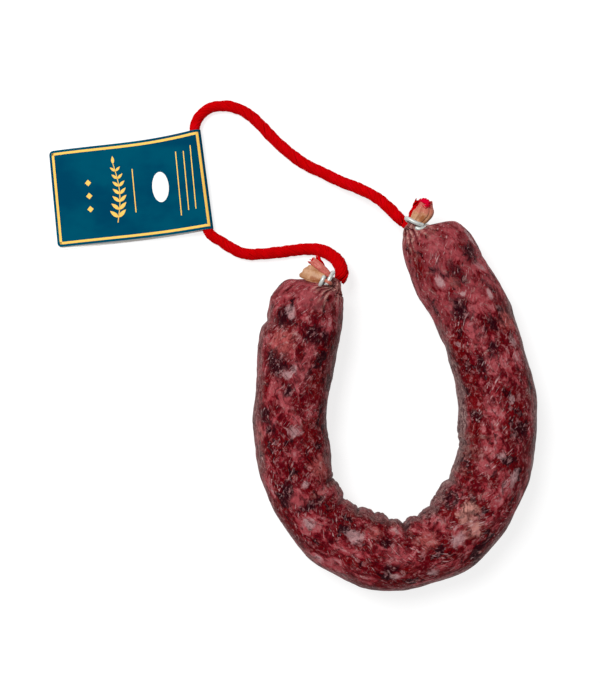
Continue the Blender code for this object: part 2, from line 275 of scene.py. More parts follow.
# Pieces of fat and lean that show most on the upper side, by kind: x, y, half length, half width
PATCHES = {
    "pink": (
        (-45.5, 10.8, 6.1, 5.6), (-40.9, 21.1, 3.8, 2.8), (-57.0, 5.7, 3.8, 2.8),
        (-52.7, -2.0, 4.2, 2.8), (35.5, 39.8, 2.8, 2.8), (37.0, 29.0, 6.5, 3.3),
        (44.7, 14.9, 4.7, 4.2), (-0.3, -74.8, 5.2, 3.8), (-42.0, 46.9, 5.6, 4.2),
        (16.0, 70.9, 4.7, 3.3), (42.2, -3.3, 3.8, 3.3), (41.7, -33.3, 2.6, 5.2),
        (-45.9, -48.8, 4.2, 4.2),
    ),
    "salmon": (
        (-54.6, 25.0, 7.6, 5.8), (-64.7, -17.3, 3.8, 3.3), (52.4, 34.9, 4.7, 4.2),
        (14.1, -68.6, 4.2, 3.8), (27.0, 52.7, 3.3, 2.3), (-35.9, -33.9, 5.2, 4.7),
        (-10.1, -63.8, 2.8, 2.8),
    ),
    "lean": (
        (-38.0, 5.7, 5.6, 3.8), (-40.9, -16.8, 6.1, 4.7), (28.7, 22.7, 5.2, 4.2),
        (34.6, 7.6, 4.2, 2.8), (24.3, -54.5, 3.8, 3.3), (5.2, -81.8, 4.7, 2.3),
        (10.7, 60.1, 6.6, 2.8), (36.8, -3.5, 7.0, 4.0), (36.2, -16.8, 8.0, 3.4),
        (-21.6, -77.9, 4.2, 2.3),
    ),
    "dark": (
        (-56.2, 14.6, 5.6, 5.0), (-58.4, 19.0, 2.8, 2.8), (-37.5, 28.2, 4.2, 7.0),
        (-50.9, 2.6, 2.8, 2.3), (-62.1, -8.7, 3.8, 3.3), (-59.1, -15.1, 3.8, 2.8),
        (29.5, 40.2, 6.1, 3.8), (44.5, 34.8, 2.8, 1.9), (44.4, 22.7, 3.3, 2.3),
        (39.1, 14.1, 4.2, 2.3), (25.6, -48.7, 4.7, 3.8), (-5.2, -68.9, 2.8, 2.3),
        (-2.7, -81.0, 4.2, 1.9), (-52.8, 36.0, 4.6, 4.6), (28.0, 57.1, 5.2, 2.3),
        (34.2, 66.5, 4.7, 3.3), (36.5, -9.7, 2.3, 3.3), (57.3, -16.1, 4.2, 3.8),
        (-40.2, -51.1, 1.9, 6.6), (-51.6, -43.6, 3.8, 2.8),
    ),
    "fat": (
        (-47.8, -17.2, 2.3, 3.1), (-48.7, 12.4, 1.6, 1.4), (-51.6, 9.4, 1.9, 1.9),
        (43.0, 48.1, 2.3, 1.2), (30.1, 47.3, 0.9, 0.9), (54.3, 25.9, 2.8, 1.4),
        (28.5, 24.1, 1.2, 1.2), (27.9, -67.3, 3.8, 2.3), (16.8, -83.3, 2.3, 1.9),
        (-0.5, -84.8, 2.8, 1.4), (-50.2, 40.8, 1.8, 1.8), (-49.3, 37.2, 1.4, 1.4),
        (20.0, 53.2, 2.8, 1.4), (34.3, 76.0, 4.2, 1.6), (53.2, -1.3, 1.9, 1.4),
        (48.1, -27.5, 1.9, 1.4), (54.7, -38.9, 4.2, 1.9), (-43.3, -41.3, 1.6, 1.4),
        (-40.7, -59.8, 2.3, 1.9), (-19.7, -65.9, 4.2, 2.8),
    ),
    "cream": (
        (32.9, -54.1, 4.7, 3.8), (35.7, -62.7, 3.8, 3.8),
    ),
}
PATCH_STRENGTH = {"pink": 0.65, "salmon": 0.65, "lean": 0.95, "dark": 0.9, "fat": 0.72, "cream": 0.65}


def screen(red, green, blue):
    """Linear colour of screen values from 0 to 255."""
    shares = [value / 255 for value in (red, green, blue)]
    return tuple(((c + 0.055) / 1.055) ** 2.4 if c > 0.04 else c / 12.92 for c in shares)


class CasingSettings(bpy.types.PropertyGroup):
    """Fineness of the casing and colours of the meat under it"""
    sides: bpy.props.IntProperty(
        name="Sides", description="Faces round the casing", default=176, min=16)
    arm_pitch: bpy.props.FloatProperty(
        name="Arm pitch", description="Distance between rings on the arms", default=0.8 * MM,
        unit="LENGTH")
    neck_pitch: bpy.props.FloatProperty(
        name="Neck pitch", description="Distance between rings near the clips", default=0.42 * MM,
        unit="LENGTH")
    wrinkle_depth: bpy.props.FloatProperty(
        name="Wrinkle depth", description="Depth of the fine wrinkles", default=0.16 * MM, unit="LENGTH")
    meat: bpy.props.FloatVectorProperty(
        name="Meat", description="Wine red of the cured meat", subtype="COLOR",
        default=screen(90, 0, 12))
    lean: bpy.props.FloatVectorProperty(
        name="Lean", description="Deep red of pure lean", subtype="COLOR", default=screen(104, 0, 4))
    dark: bpy.props.FloatVectorProperty(
        name="Dark", description="Dried purple black meat", subtype="COLOR", default=screen(36, 0, 8))
    pink: bpy.props.FloatVectorProperty(
        name="Pink", description="Mixed fat and meat", subtype="COLOR", default=screen(158, 70, 76))
    salmon: bpy.props.FloatVectorProperty(
        name="Salmon", description="Fat with meat juice", subtype="COLOR", default=screen(158, 74, 72))
    fat: bpy.props.FloatVectorProperty(
        name="Fat", description="Pieces of grey fat", subtype="COLOR", default=screen(172, 132, 134))
    cream: bpy.props.FloatVectorProperty(
        name="Cream", description="Pieces of pale fat", subtype="COLOR", default=screen(190, 132, 122))
    # Grey of the dry casing low on the sides, laid on also as a painted sheen
    veil: bpy.props.FloatVectorProperty(
        name="Veil", description="Dry casing that stands off the meat", subtype="COLOR",
        default=screen(112, 84, 84))


class TrimSettings(bpy.types.PropertyGroup):
    """Make of the string and colours of the string, the clips and the tails"""
    strands: bpy.props.IntProperty(
        name="Strands", description="Strands round the string", default=15, min=3)
    strand_lead: bpy.props.FloatProperty(
        name="Lead", description="Length of one full twist of the string", default=21.0 * MM,
        unit="LENGTH")
    hairs: bpy.props.IntProperty(
        name="Hairs", description="Loose fibres that stand off the string", default=1500, min=0)
    yarn: bpy.props.FloatVectorProperty(
        name="Yarn", description="Red of the string", subtype="COLOR", default=screen(206, 0, 3))
    wire: bpy.props.FloatVectorProperty(
        name="Wire", description="Bare metal of the clips", subtype="COLOR",
        default=screen(196, 200, 196))
    tan: bpy.props.FloatVectorProperty(
        name="Tan", description="Dry casing of the tails", subtype="COLOR", default=screen(168, 118, 80))
    tail_pink: bpy.props.FloatVectorProperty(
        name="Tail pink", description="Casing of the tails stained by the string", subtype="COLOR",
        default=screen(184, 90, 80))


class TagSettings(bpy.types.PropertyGroup):
    """Colours of the card and its printed frame"""
    petrol: bpy.props.FloatVectorProperty(
        name="Petrol", description="Printed blue green of the card", subtype="COLOR",
        default=screen(0, 60, 87))
    gold: bpy.props.FloatVectorProperty(
        name="Gold", description="Gold of the printed lines", subtype="COLOR",
        default=screen(236, 186, 84))
    paper: bpy.props.FloatVectorProperty(
        name="Paper", description="Bare card", subtype="COLOR", default=screen(240, 238, 234))
    frame_inset: bpy.props.FloatProperty(
        name="Frame inset", description="Gap from the card's edge to the printed line", default=1.2 * MM,
        unit="LENGTH")
    frame_width: bpy.props.FloatProperty(
        name="Frame width", description="Width of the printed line", default=1.2 * MM, unit="LENGTH")


class StageSettings(bpy.types.PropertyGroup):
    """Strength of the lights"""
    sky: bpy.props.FloatProperty(
        name="Sky", description="Strength of the even light from all round", default=0.42, min=0.0)
    key: bpy.props.FloatProperty(
        name="Key", description="Power of the large lamp at the upper left", default=11.5, unit="POWER")


def marks_along(points):
    """Distance along points or stations; between stations a change of half height counts too."""
    steps = np.linalg.norm(np.diff(points[:, :3], axis=0), axis=1)
    if points.shape[1] > 3:
        steps = np.hypot(steps, np.diff(points[:, -1]))
    return np.concatenate([[0.0], np.cumsum(steps)])


def smooth_curve(points, places):
    """Read points or stations at places from 0 to 1 of the smooth curve through them."""
    points = np.array(points, float)
    marks = marks_along(points)
    order = np.arange(len(points))
    before = np.maximum(order - 1, 0)
    after = np.minimum(order + 1, len(points) - 1)
    slopes = (points[after] - points[before]) / (marks[after] - marks[before])[:, None]
    at = np.array(places) * marks[-1]
    index = np.clip(np.searchsorted(marks, at) - 1, 0, len(points) - 2)
    span = (marks[index + 1] - marks[index])[:, None]
    t = (at - marks[index])[:, None] / span
    return (
        points[index] * (2 * t**3 - 3 * t**2 + 1)
        + slopes[index] * (t**3 - 2 * t**2 + t) * span
        + points[index + 1] * (3 * t**2 - 2 * t**3)
        + slopes[index + 1] * (t**3 - t**2) * span
    )


def curve_length(points):
    return marks_along(np.array(points, float))[-1]


def ease(value, low, high):
    """Smooth step from 0 at low to 1 at high."""
    t = np.clip((value - low) / (high - low), 0.0, 1.0)
    return t * t * (3.0 - 2.0 * t)


def soft_noise(places, size, seed):
    """Smooth noise from -1 to 1; size is the distance between its bumps, one number or one an axis."""
    scaled = places / np.array(size)
    cell = np.floor(scaled).astype(np.int64)
    part = scaled - cell
    blend = part**3 * (part * (part * 6.0 - 15.0) + 10.0)
    total = np.zeros(places.shape[0])
    for corner in np.ndindex(2, 2, 2):
        key = (cell + np.array(corner)) @ np.array([73856093, 19349663, 83492791]) + seed * 7919
        key = ((key ^ (key >> 13)) * 1274126177) & 0x7FFFFFFF
        key = ((key ^ (key >> 15)) * 668265263) & 0x7FFFFFFF
        share = np.where(np.array(corner) == 1, blend, 1.0 - blend).prod(axis=1)
        total += share * (key / 0x3FFFFFFF - 1.0)
    return total


def thin_lines(places, size, seed, width):
    """Network of thin winding lines, 1 on a line and 0 away from it."""
    return np.clip(1.0 - np.abs(soft_noise(places, size, seed)) / width, 0.0, 1.0)


def deselect_all():
    if bpy.context.object and bpy.context.object.mode != "OBJECT":
        bpy.ops.object.mode_set(mode="OBJECT")
    bpy.ops.object.select_all(action="DESELECT")


def activate(item):
    deselect_all()
    item.select_set(True)
    bpy.context.view_layer.objects.active = item


def coordinates(item):
    values = np.zeros(len(item.data.vertices) * 3)
    item.data.vertices.foreach_get("co", values)
    return values.reshape(-1, 3)


def set_coordinates(item, places):
    item.data.vertices.foreach_set("co", np.ascontiguousarray(places, np.float32).ravel())
    item.data.update()


def add_attribute(item, name, values, kind="FLOAT"):
    layer = item.data.attributes.new(name, kind, "POINT")
    field = "vector" if kind == "FLOAT_VECTOR" else "value"
    layer.data.foreach_set(field, np.ascontiguousarray(values, np.float32).ravel())


def add_grid(name, columns, rows):
    """Flat grid whose points are then laid out; returns it and each point's shares across and up."""
    deselect_all()
    bpy.ops.mesh.primitive_grid_add(x_subdivisions=columns, y_subdivisions=rows, size=1.0)
    item = bpy.context.object
    item.name = name
    item.data.name = name
    places = coordinates(item)
    return item, places[:, 0] + 0.5, places[:, 1] + 0.5


def face_outwards(item):
    """Turn every face of a closed piece outwards and shade it smooth."""
    activate(item)
    bpy.ops.object.mode_set(mode="EDIT")
    bpy.ops.mesh.select_all(action="SELECT")
    bpy.ops.mesh.normals_make_consistent(inside=False)
    bpy.ops.object.mode_set(mode="OBJECT")
    bpy.ops.object.shade_smooth()


def close_seam(item, fill_ends=True):
    """Merge the seam of a grid wrapped into a tube and fill its two ends."""
    activate(item)
    bpy.ops.object.mode_set(mode="EDIT")
    bpy.ops.mesh.select_mode(type="VERT")
    bpy.ops.mesh.select_all(action="SELECT")
    bpy.ops.mesh.remove_doubles(threshold=MERGE * MM)
    if fill_ends:
        bpy.ops.mesh.select_all(action="DESELECT")
        bpy.ops.mesh.select_non_manifold(extend=False, use_wire=False, use_multi_face=False,
                                         use_non_contiguous=False, use_verts=False)
        bpy.ops.mesh.fill_holes(sides=0)
    face_outwards(item)


def thicken(item, thickness, offset, even=False):
    """Give a sheet its wall; offset says on which side of it."""
    wall = item.modifiers.new("wall", "SOLIDIFY")
    wall.thickness = thickness * MM
    wall.offset = offset
    wall.use_even_offset = even
    activate(item)
    bpy.ops.object.modifier_apply(modifier=wall.name)


def mesh_object(shape, name):
    """Object made from an edited mesh, which is then freed."""
    mesh = bpy.data.meshes.new(name)
    shape.to_mesh(mesh)
    shape.free()
    item = bpy.data.objects.new(name, mesh)
    bpy.context.scene.collection.objects.link(item)
    return item


def join(pieces, name):
    """One object from several, with the first one's place."""
    deselect_all()
    for piece in pieces:
        piece.select_set(True)
    bpy.context.view_layer.objects.active = pieces[0]
    if len(pieces) > 1:
        bpy.ops.object.join()
    pieces[0].name = name
    pieces[0].data.name = name
    return pieces[0]


def dress(item, material, slot, *nodes):
    """Give a finished piece its material and tie it to the frame."""
    item.data.materials.clear()
    item.data.materials.append(material)
    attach(item, BODY_NAME)
    if nodes:
        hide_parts(*nodes)


class Finish:
    """A node material being put together."""

    def __init__(self, name, **sockets):
        self.material = bpy.data.materials.new(name)
        self.material.use_nodes = True
        self.nodes = self.material.node_tree.nodes
        self.links = self.material.node_tree.links
        self.shader = self.nodes["Principled BSDF"]
        for socket, value in sockets.items():
            self.feed(self.shader.inputs[socket.replace("_", " ")], value)

    def feed(self, socket, value):
        if isinstance(value, bpy.types.NodeSocket):
            self.links.new(value, socket)
        elif socket.type == "RGBA" and len(value) == 3:
            socket.default_value = (*value, 1.0)
        else:
            socket.default_value = value

    def node(self, kind, inputs, output=0, **options):
        node = self.nodes.new(kind)
        for option, value in options.items():
            setattr(node, option, value)
        for socket, value in inputs.items():
            self.feed(node.inputs[socket], value)
        return node.outputs[output]

    def attribute(self, name, output="Fac"):
        return self.node("ShaderNodeAttribute", {}, output, attribute_name=name)

    def own_place(self):
        return self.node("ShaderNodeTexCoord", {}, "Object")

    def turn(self, vector, degrees):
        """Vector turned about the upright axis."""
        inputs = {"Vector": vector, "Angle": math.radians(degrees)}
        return self.node("ShaderNodeVectorRotate", inputs, rotation_type="Z_AXIS")

    def noise(self, vector, sizes, detail, roughness=0.55, distortion=0.0, kind="FBM", output="Fac"):
        """Noise of a vector in metres, with bumps of these sizes in mm, one an axis."""
        scale = tuple(1.0 / (size * MM) for size in sizes)
        stretched = self.node("ShaderNodeVectorMath", {0: vector, 1: scale}, operation="MULTIPLY")
        inputs = {"Vector": stretched, "Scale": 1.0, "Detail": detail, "Roughness": roughness,
                  "Distortion": distortion}
        return self.node("ShaderNodeTexNoise", inputs, output, noise_type=kind)

    def ramp(self, factor, stops):
        output = self.node("ShaderNodeValToRGB", {"Fac": factor})
        ramp = output.node.color_ramp
        while len(ramp.elements) < len(stops):
            ramp.elements.new(1.0)
        for element, (position, colour) in zip(ramp.elements, stops):
            element.position = position
            grey = isinstance(colour, float)
            element.color = (colour, colour, colour, 1.0) if grey else (*colour, 1.0)
        return output

    def mix(self, factor, first, second):
        return self.node("ShaderNodeMix", {0: factor, 6: first, 7: second}, 2, data_type="RGBA")

    def times(self, first, second, clamp=False):
        inputs = {0: first, 1: second}
        return self.node("ShaderNodeMath", inputs, operation="MULTIPLY", use_clamp=clamp)

    def plus(self, first, second):
        return self.node("ShaderNodeMath", {0: first, 1: second}, operation="ADD")

    def minus(self, first, second):
        return self.node("ShaderNodeMath", {0: first, 1: second}, operation="SUBTRACT")

    def tint(self, colour, cover, strength, shade):
        """Colour with a shade laid over it at a strength from 0 to 1, where cover reaches."""
        return self.mix(self.times(cover, strength), colour, shade)

    def rise(self, value, low, high):
        """Smooth step from 0 at low to 1 at high."""
        inputs = {"Value": value, "From Min": low, "From Max": high}
        return self.node("ShaderNodeMapRange", inputs, interpolation_type="SMOOTHSTEP")

    def bump(self, height, strength, distance, normal=None):
        inputs = {"Height": height, "Strength": strength, "Distance": distance * MM}
        if normal:
            inputs["Normal"] = normal
        return self.node("ShaderNodeBump", inputs)

    def done(self, colour, roughness, normal):
        self.feed(self.shader.inputs["Base Color"], colour)
        self.feed(self.shader.inputs["Roughness"], roughness)
        self.feed(self.shader.inputs["Normal"], normal)
        return self.material


def casing_material(look):
    """Marbled meat seen through a thin dry casing with fine wrinkles, painted glints, a painted sheen
    low on the sides, painted highlights on ridges and painted shade in creases.
    """
    f = Finish("marbled_casing", Specular_IOR_Level=0.025)
    skin = f.attribute("skin", "Vector")
    wander = f.noise(skin, (6.5, 5.0, 5.0), 4.0, 0.6, output="Color")
    shift = f.node("ShaderNodeVectorMath", {0: wander, 1: (-0.5, -0.5, -0.5)}, operation="ADD")
    push = f.node("ShaderNodeVectorMath", {0: shift, "Scale": 7.0 * MM}, operation="SCALE")
    warped = f.node("ShaderNodeVectorMath", {0: skin, 1: push}, operation="ADD")

    # Marbling of lean, meat and fat
    large = f.noise(warped, (12.5, 9.0, 9.0), 6.0, 0.56)
    small = f.noise(warped, (4.4, 3.2, 3.2), 4.0, 0.55)
    blend = f.plus(f.times(large, 0.68), f.times(small, 0.32))
    colour = f.ramp(blend, (
        (0.412, look.dark), (0.455, look.lean), (0.485, look.meat), (0.512, look.meat),
        (0.548, screen(134, 38, 45)), (0.6, look.pink), (0.67, look.fat)))
    gathered = f.times(f.attribute("gathered"), f.rise(small, 0.35, 0.6))
    colour = f.tint(colour, gathered, 0.6, look.pink)

    # The largest patches, with ragged edges
    ragged = f.noise(warped, (3.2, 2.4, 2.4), 5.0, 0.58)
    inner = f.plus(0.45, f.rise(small, 0.3, 0.65))
    for kind, strength in PATCH_STRENGTH.items():
        edge = f.plus(f.attribute(kind), f.times(f.minus(ragged, 0.5), 1.9))
        cover = f.times(f.rise(edge, 0.12, 0.66), f.times(inner, strength, clamp=True))
        colour = f.mix(cover, colour, getattr(look, kind))

    # Bright grains, dark pits and pale streaks, calmer where the casing is gathered
    calm = f.minus(1.0, f.times(f.attribute("gathered"), 0.6))
    mottle = f.noise(warped, (3.0, 2.1, 2.1), 4.0, 0.6)
    bright = f.times(f.rise(mottle, 0.53, 0.69), 0.44)
    colour = f.tint(colour, bright, calm, screen(186, 126, 128))
    pits = f.times(f.minus(1.0, f.rise(mottle, 0.34, 0.49)), 0.68)
    colour = f.tint(colour, pits, calm, screen(46, 0, 5))
    streaks = f.noise(warped, (7.0, 0.9, 0.9), 3.0, 0.55)
    colour = f.tint(colour, f.rise(streaks, 0.58, 0.7), 0.18, screen(146, 98, 98))

    # Fine strokes: pale ones aslant one way are painted glints off the wrinkles, dark ones aslant the
    # other way are painted shade in fine creases
    glint_marks = f.noise(f.turn(skin, 38.0), (4.6, 0.75, 1.0), 3.0, 0.55, 0.6)
    crease_marks = f.noise(f.turn(skin, -34.0), (5.0, 0.8, 1.0), 3.0, 0.55, 0.6)
    spread = f.noise(skin, (8.0, 8.0, 8.0), 2.0)
    glints = f.times(f.rise(glint_marks, 0.58, 0.68), f.rise(spread, 0.4, 0.62))
    colour = f.tint(colour, glints, 0.58, screen(208, 168, 168))
    # Painted shade in the fine creases
    crease_shade_strokes = f.minus(1.0, f.rise(crease_marks, 0.32, 0.41))
    crease_shade_strokes = f.times(crease_shade_strokes, calm)
    colour = f.tint(colour, crease_shade_strokes, 0.75, screen(48, 0, 6))

    # Dry casing low on the sides, partly its own grey and partly a painted sheen; painted highlights on
    # ridges and painted shade in crevices
    threads = f.noise(warped, (7.0, 0.6, 0.6), 2.0)
    dry = f.ramp(threads, (
        (0.41, screen(44, 20, 24)), (0.48, look.veil), (0.54, look.veil), (0.63, screen(174, 142, 136))))
    colour = f.tint(colour, f.attribute("veil"), 0.85, dry)
    colour = f.tint(colour, f.attribute("ridge"), f.rise(mottle, 0.36, 0.62), screen(192, 142, 132))
    colour = f.tint(colour, f.attribute("crevice"), 0.85, screen(46, 2, 8))

    # Fine relief and gloss
    fine = f.noise(skin, (1.1, 0.42, 0.42), 5.0, 0.65)
    crackle = f.noise(warped, (2.6, 0.9, 0.9), 4.0, 0.6, kind="RIDGED_MULTIFRACTAL")
    strokes = f.plus(f.rise(glint_marks, 0.5, 0.7), f.rise(crease_marks, 0.28, 0.45))
    normal = f.bump(strokes, 0.6, 0.2, f.bump(crackle, 0.5, 0.3, f.bump(fine, 0.8, 0.25)))
    gloss = f.ramp(f.noise(skin, (2.5, 1.4, 1.4), 4.0), ((0.35, 0.28), (0.65, 0.52)))
    return f.done(colour, gloss, normal)


def body_stations():
    """Stations of the arms and the bend, each square to the middle line."""
    stations = []
    for index, (x, y, half_width) in enumerate(BODY):
        before = BODY[max(index - 1, 0)]
        after = BODY[min(index + 1, len(BODY) - 1)]
        heading = math.degrees(math.atan2(after[1] - before[1], after[0] - before[0]))
        # The headings run from -110 to 111 degrees, and none of them may jump by a full turn
        if heading < -150.0:
            heading += 360.0
        half_height = half_width * ROUNDNESS
        stations.append(Station(x, y, half_height - SINK, heading, half_width, half_height))
    return stations


def casing_rings(look):
    """Rings from clip to clip and how far along each is; 0 is where the left arm begins."""
    body = body_stations()
    spans = (
        (list(LEFT_END[NECK_STATION:]) + body[:1], look.neck_pitch / MM),
        (body, look.arm_pitch / MM),
        (body[-1:] + list(RIGHT_END[:NECK_STATION_RIGHT + 1]), look.neck_pitch / MM),
    )
    rings = []
    for stations, pitch in spans:
        steps = max(2, round(curve_length(stations) / pitch))
        places = np.linspace(0.0, 1.0, steps + 1)[1 if rings else 0:]
        rings.append(smooth_curve(stations, places))
    first_arm = len(rings[0]) - 1
    rings = np.concatenate(rings)
    steps = np.hypot(np.linalg.norm(np.diff(rings[:, :2], axis=0), axis=1), np.diff(rings[:, 5]) * 0.6)
    along = np.concatenate([[0.0], np.cumsum(steps)])
    return rings, along - along[first_arm]


def turn_between(first, second):
    return np.abs((first - second + 180.0) % 360.0 - 180.0)


def crease_field(along, angle, creases, sharpness=1.0):
    depth = np.zeros_like(along)
    for crease in creases:
        across = (along - crease.along) / crease.length * sharpness
        around = turn_between(angle, crease.angle) / crease.spread
        depth += crease.depth * np.exp(-across**2 - around**2)
    return depth


def bent_creases(count, low, high, inner, depth, seed):
    """Short fine pleats across the inside of the bend, each a little aslant."""
    draw = random.Random(seed)
    creases = []
    for _ in range(count):
        creases.append(Crease(
            draw.uniform(low, high), inner + draw.gauss(0.0, 22.0), depth * draw.uniform(0.4, 1.0),
            draw.uniform(0.45, 0.9), draw.uniform(9.0, 30.0)))
    return creases


def neck_pleats(angle, radius, away, seed, count):
    """Depth of the folds that run out from a clip, and how raised each place is, from 0 to 1; the raised
    places get painted highlights.

    away is the distance from the clip in mm; angle 45 is the side where the folds run farthest.
    """
    draw = random.Random(seed)
    valley = np.zeros_like(angle)
    raised = np.zeros_like(angle)
    for index in range(count):
        middle = 360.0 * (index + draw.uniform(-0.35, 0.35)) / count
        facing = max(math.cos(math.radians(middle - 45.0)), 0.0)
        reach = draw.uniform(6.0, 13.0) + 9.0 * draw.random() * facing
        depth = draw.uniform(0.45, 1.0)
        drift = draw.uniform(-0.9, 0.9)
        width = draw.uniform(0.32, 0.7) + 0.016 * away
        off = np.radians((angle + drift * away - middle + 180.0) % 360.0 - 180.0) * radius / width
        fade = 1.0 - ease(away, reach * 0.45, reach)
        valley = np.maximum(valley, depth * fade * np.exp(-off**2))
        raised = np.maximum(raised, fade * np.exp(-((np.abs(off) - 2.0) / 0.9) ** 2))
    return valley, raised


def casing_relief(rings, along, angle, skin, places):
    """Relief in mm at every point, and from 0 to 1 its painted shade in crevices, painted highlights on
    ridges, dry casing with a painted sheen on the sides, and gathered ends.
    """
    radius = rings[:, 5]
    turn = np.radians(angle)
    arm_length = along.max() - RIGHT_END_RUN
    on_arms = ease(along, 0.0, FADE_IN) * (1.0 - ease(along, arm_length, arm_length + FADE_IN))
    flat = 1.0 - np.maximum(-np.sin(turn), 0.0) ** 3

    # Lumps of meat, and the pleats across the casing
    lumps = 0.30 * np.sin(along / 9.0 + 2.0 * turn) + 0.22 * np.sin(along / 5.3 - 3.0 * turn + 1.0)
    lumps += 0.16 * np.sin(along / 3.1 + 4.0 * turn + 2.4)
    lumps += 0.30 * soft_noise(skin, 6.5, 3) + 0.16 * soft_noise(skin, 3.1, 5)
    wide = crease_field(along, angle, CREASES) * on_arms
    sharp = 0.35 * crease_field(along, angle, CREASES, 3.6) * on_arms
    pleats = bent_creases(FINE_PLEATS, GATHERED_FROM, GATHERED_TO, 8.0, 0.55, 4)
    fine = crease_field(along, angle, pleats) * on_arms

    # Fine wrinkles, which lie along the arms and across the inside of the bend
    long_lines = thin_lines(skin, (9.0, 3.1, 3.1), 11, 0.22)
    cross_lines = thin_lines(skin, (2.7, 6.0, 6.0), 17, 0.2)
    bend = np.exp(-((along - BEND_MIDDLE) / BEND_REACH) ** 2)
    bend = bend * (0.35 + 0.65 * ease(np.cos(turn), -0.2, 0.7))
    small_lines = thin_lines(skin, (3.0, 1.6, 1.6), 23, 0.25)
    lines = long_lines * (1.0 - 0.7 * bend) + 1.5 * cross_lines * bend
    wrinkles = bpy.context.scene.sausage_casing.wrinkle_depth / MM * (lines + 0.55 * small_lines)

    # Folds that run out from the clips
    valley = np.zeros_like(angle)
    raised = np.zeros_like(angle)
    for neck, seed in ((LEFT_END[CLIP_STATION], 21), (RIGHT_END[CLIP_STATION_RIGHT], 33)):
        gap = places - np.array(neck[:3])
        folds = neck_pleats(angle, radius, np.linalg.norm(gap, axis=1), seed, CLIP_FOLDS)
        near = np.abs(gap[:, 0]) < CLIP_FOLD_REACH
        valley = np.where(near, np.maximum(valley, folds[0]), valley)
        raised = np.where(near, np.maximum(raised, folds[1]), raised)
    folded = valley * np.minimum(0.2 * radius, 1.0)

    # The relief, and the places where the material gets painted shade in crevices, painted highlights on
    # ridges, and its dry casing with a painted sheen
    relief = lumps * on_arms * flat - (wide + sharp + fine + wrinkles) * flat - folded
    relief += 0.12 * soft_noise(skin, 2.2, 29) * (1.0 - on_arms) * np.minimum(radius / 8.0, 1.0)
    crevice = np.clip(1.1 * sharp + 0.9 * fine + valley, 0.0, 1.0) ** 1.3
    crevice = np.maximum(crevice, 0.22 * lines * (1.0 - 0.5 * np.abs(soft_noise(skin, 9.0, 31))))
    ridge = np.clip(raised + 0.5 * np.clip(fine * 2.0, 0.0, 1.0) * (1.0 - crevice), 0.0, 1.0)
    low = np.degrees(np.arcsin(np.clip(np.sin(turn), -1.0, 1.0)))
    wavering = 14.0 * soft_noise(skin, (15.0, 7.0, 7.0), 37)
    wavering += 5.0 * soft_noise(skin, (3.0, 2.0, 2.0), 41)
    veil = 1.0 - ease(low + wavering, 24.0, 38.0)
    veil *= 0.5 + 0.5 * np.exp(-((along - SHEEN_VEIL_MIDDLE) / SHEEN_VEIL_REACH) ** 2)
    return relief, crevice, ridge, veil * on_arms, 1.0 - on_arms


def patch_fields(places, rings, angle):
    """How much each kind of patch covers every point: 1 in its middle, 0 at its edge and beyond."""
    heading = np.radians(rings[:, 3])
    lower = np.sin(np.radians(angle)) <= -0.1
    fields = {}
    for kind, patches in PATCHES.items():
        fields[kind] = np.zeros(len(places))
        for x, y, half_length, half_width in patches:
            gap = np.hypot(places[:, 0] - x, places[:, 1] - y)
            gap[lower] = np.inf
            nearest = int(gap.argmin())
            offset = places - places[nearest]
            run = offset[:, 0] * math.cos(heading[nearest]) + offset[:, 1] * math.sin(heading[nearest])
            rest = np.sqrt(np.maximum((offset**2).sum(axis=1) - run**2, 0.0))
            cover = 1.0 - PATCH_FALL * np.hypot(run / half_length, rest / half_width)
            fields[kind] = np.maximum(fields[kind], cover)
    return fields


def around_rings(ring, turn, relief):
    """Places at a turn round each ring, raised by the relief and kept above the table."""
    heading = np.radians(ring[:, 3])
    reach = (ring[:, 4] + relief) * np.cos(turn)
    return np.column_stack([
        ring[:, 0] - np.sin(heading) * reach,
        ring[:, 1] + np.cos(heading) * reach,
        np.maximum(ring[:, 2] + (ring[:, 5] + relief) * np.sin(turn), 0.0),
    ])


def make_casing(look):
    rings, along = casing_rings(look)
    count = len(rings)
    item, run, round_share = add_grid("sausage_casing", count - 1, look.sides)
    index = np.rint(run * (count - 1)).astype(int)
    angle = (round_share * 360.0 - 90.0) % 360.0
    turn = np.radians(angle)
    ring = rings[index]
    spot = along[index]
    size = (ring[:, 4] + ring[:, 5]) / 2.0
    skin = np.stack([spot, size * np.cos(turn), size * np.sin(turn)], axis=1)
    smooth = around_rings(ring, turn, 0.0)
    relief, crevice, ridge, veil, gathered = casing_relief(ring, spot, angle, skin, smooth)
    places = around_rings(ring, turn, relief)
    set_coordinates(item, places * MM)
    add_attribute(item, "skin", skin * MM, "FLOAT_VECTOR")
    # Masks of painted shade in crevices, painted highlights on ridges, the dry casing with its painted
    # sheen, and the gathered ends
    for name, values in (("crevice", crevice), ("ridge", ridge), ("veil", veil), ("gathered", gathered)):
        add_attribute(item, name, values)
    for kind, field in patch_fields(places, ring, angle).items():
        add_attribute(item, kind, field)
    close_seam(item)
    return item


def directions(line):
    """Which way a line runs at each of its points."""
    runs = np.gradient(line, axis=0)
    return runs / np.linalg.norm(runs, axis=1)[:, None]


def tube_frames(route):
    """Directions along a route and across it, which turn with it and never twist."""
    tangents = directions(route)
    across = np.cross(tangents[0], (0.0, 0.0, 1.0))
    sideways = np.zeros_like(route)
    for index, tangent in enumerate(tangents):
        across = across - tangent * across.dot(tangent)
        across /= np.linalg.norm(across)
        sideways[index] = across
    return tangents, sideways, np.cross(tangents, sideways)


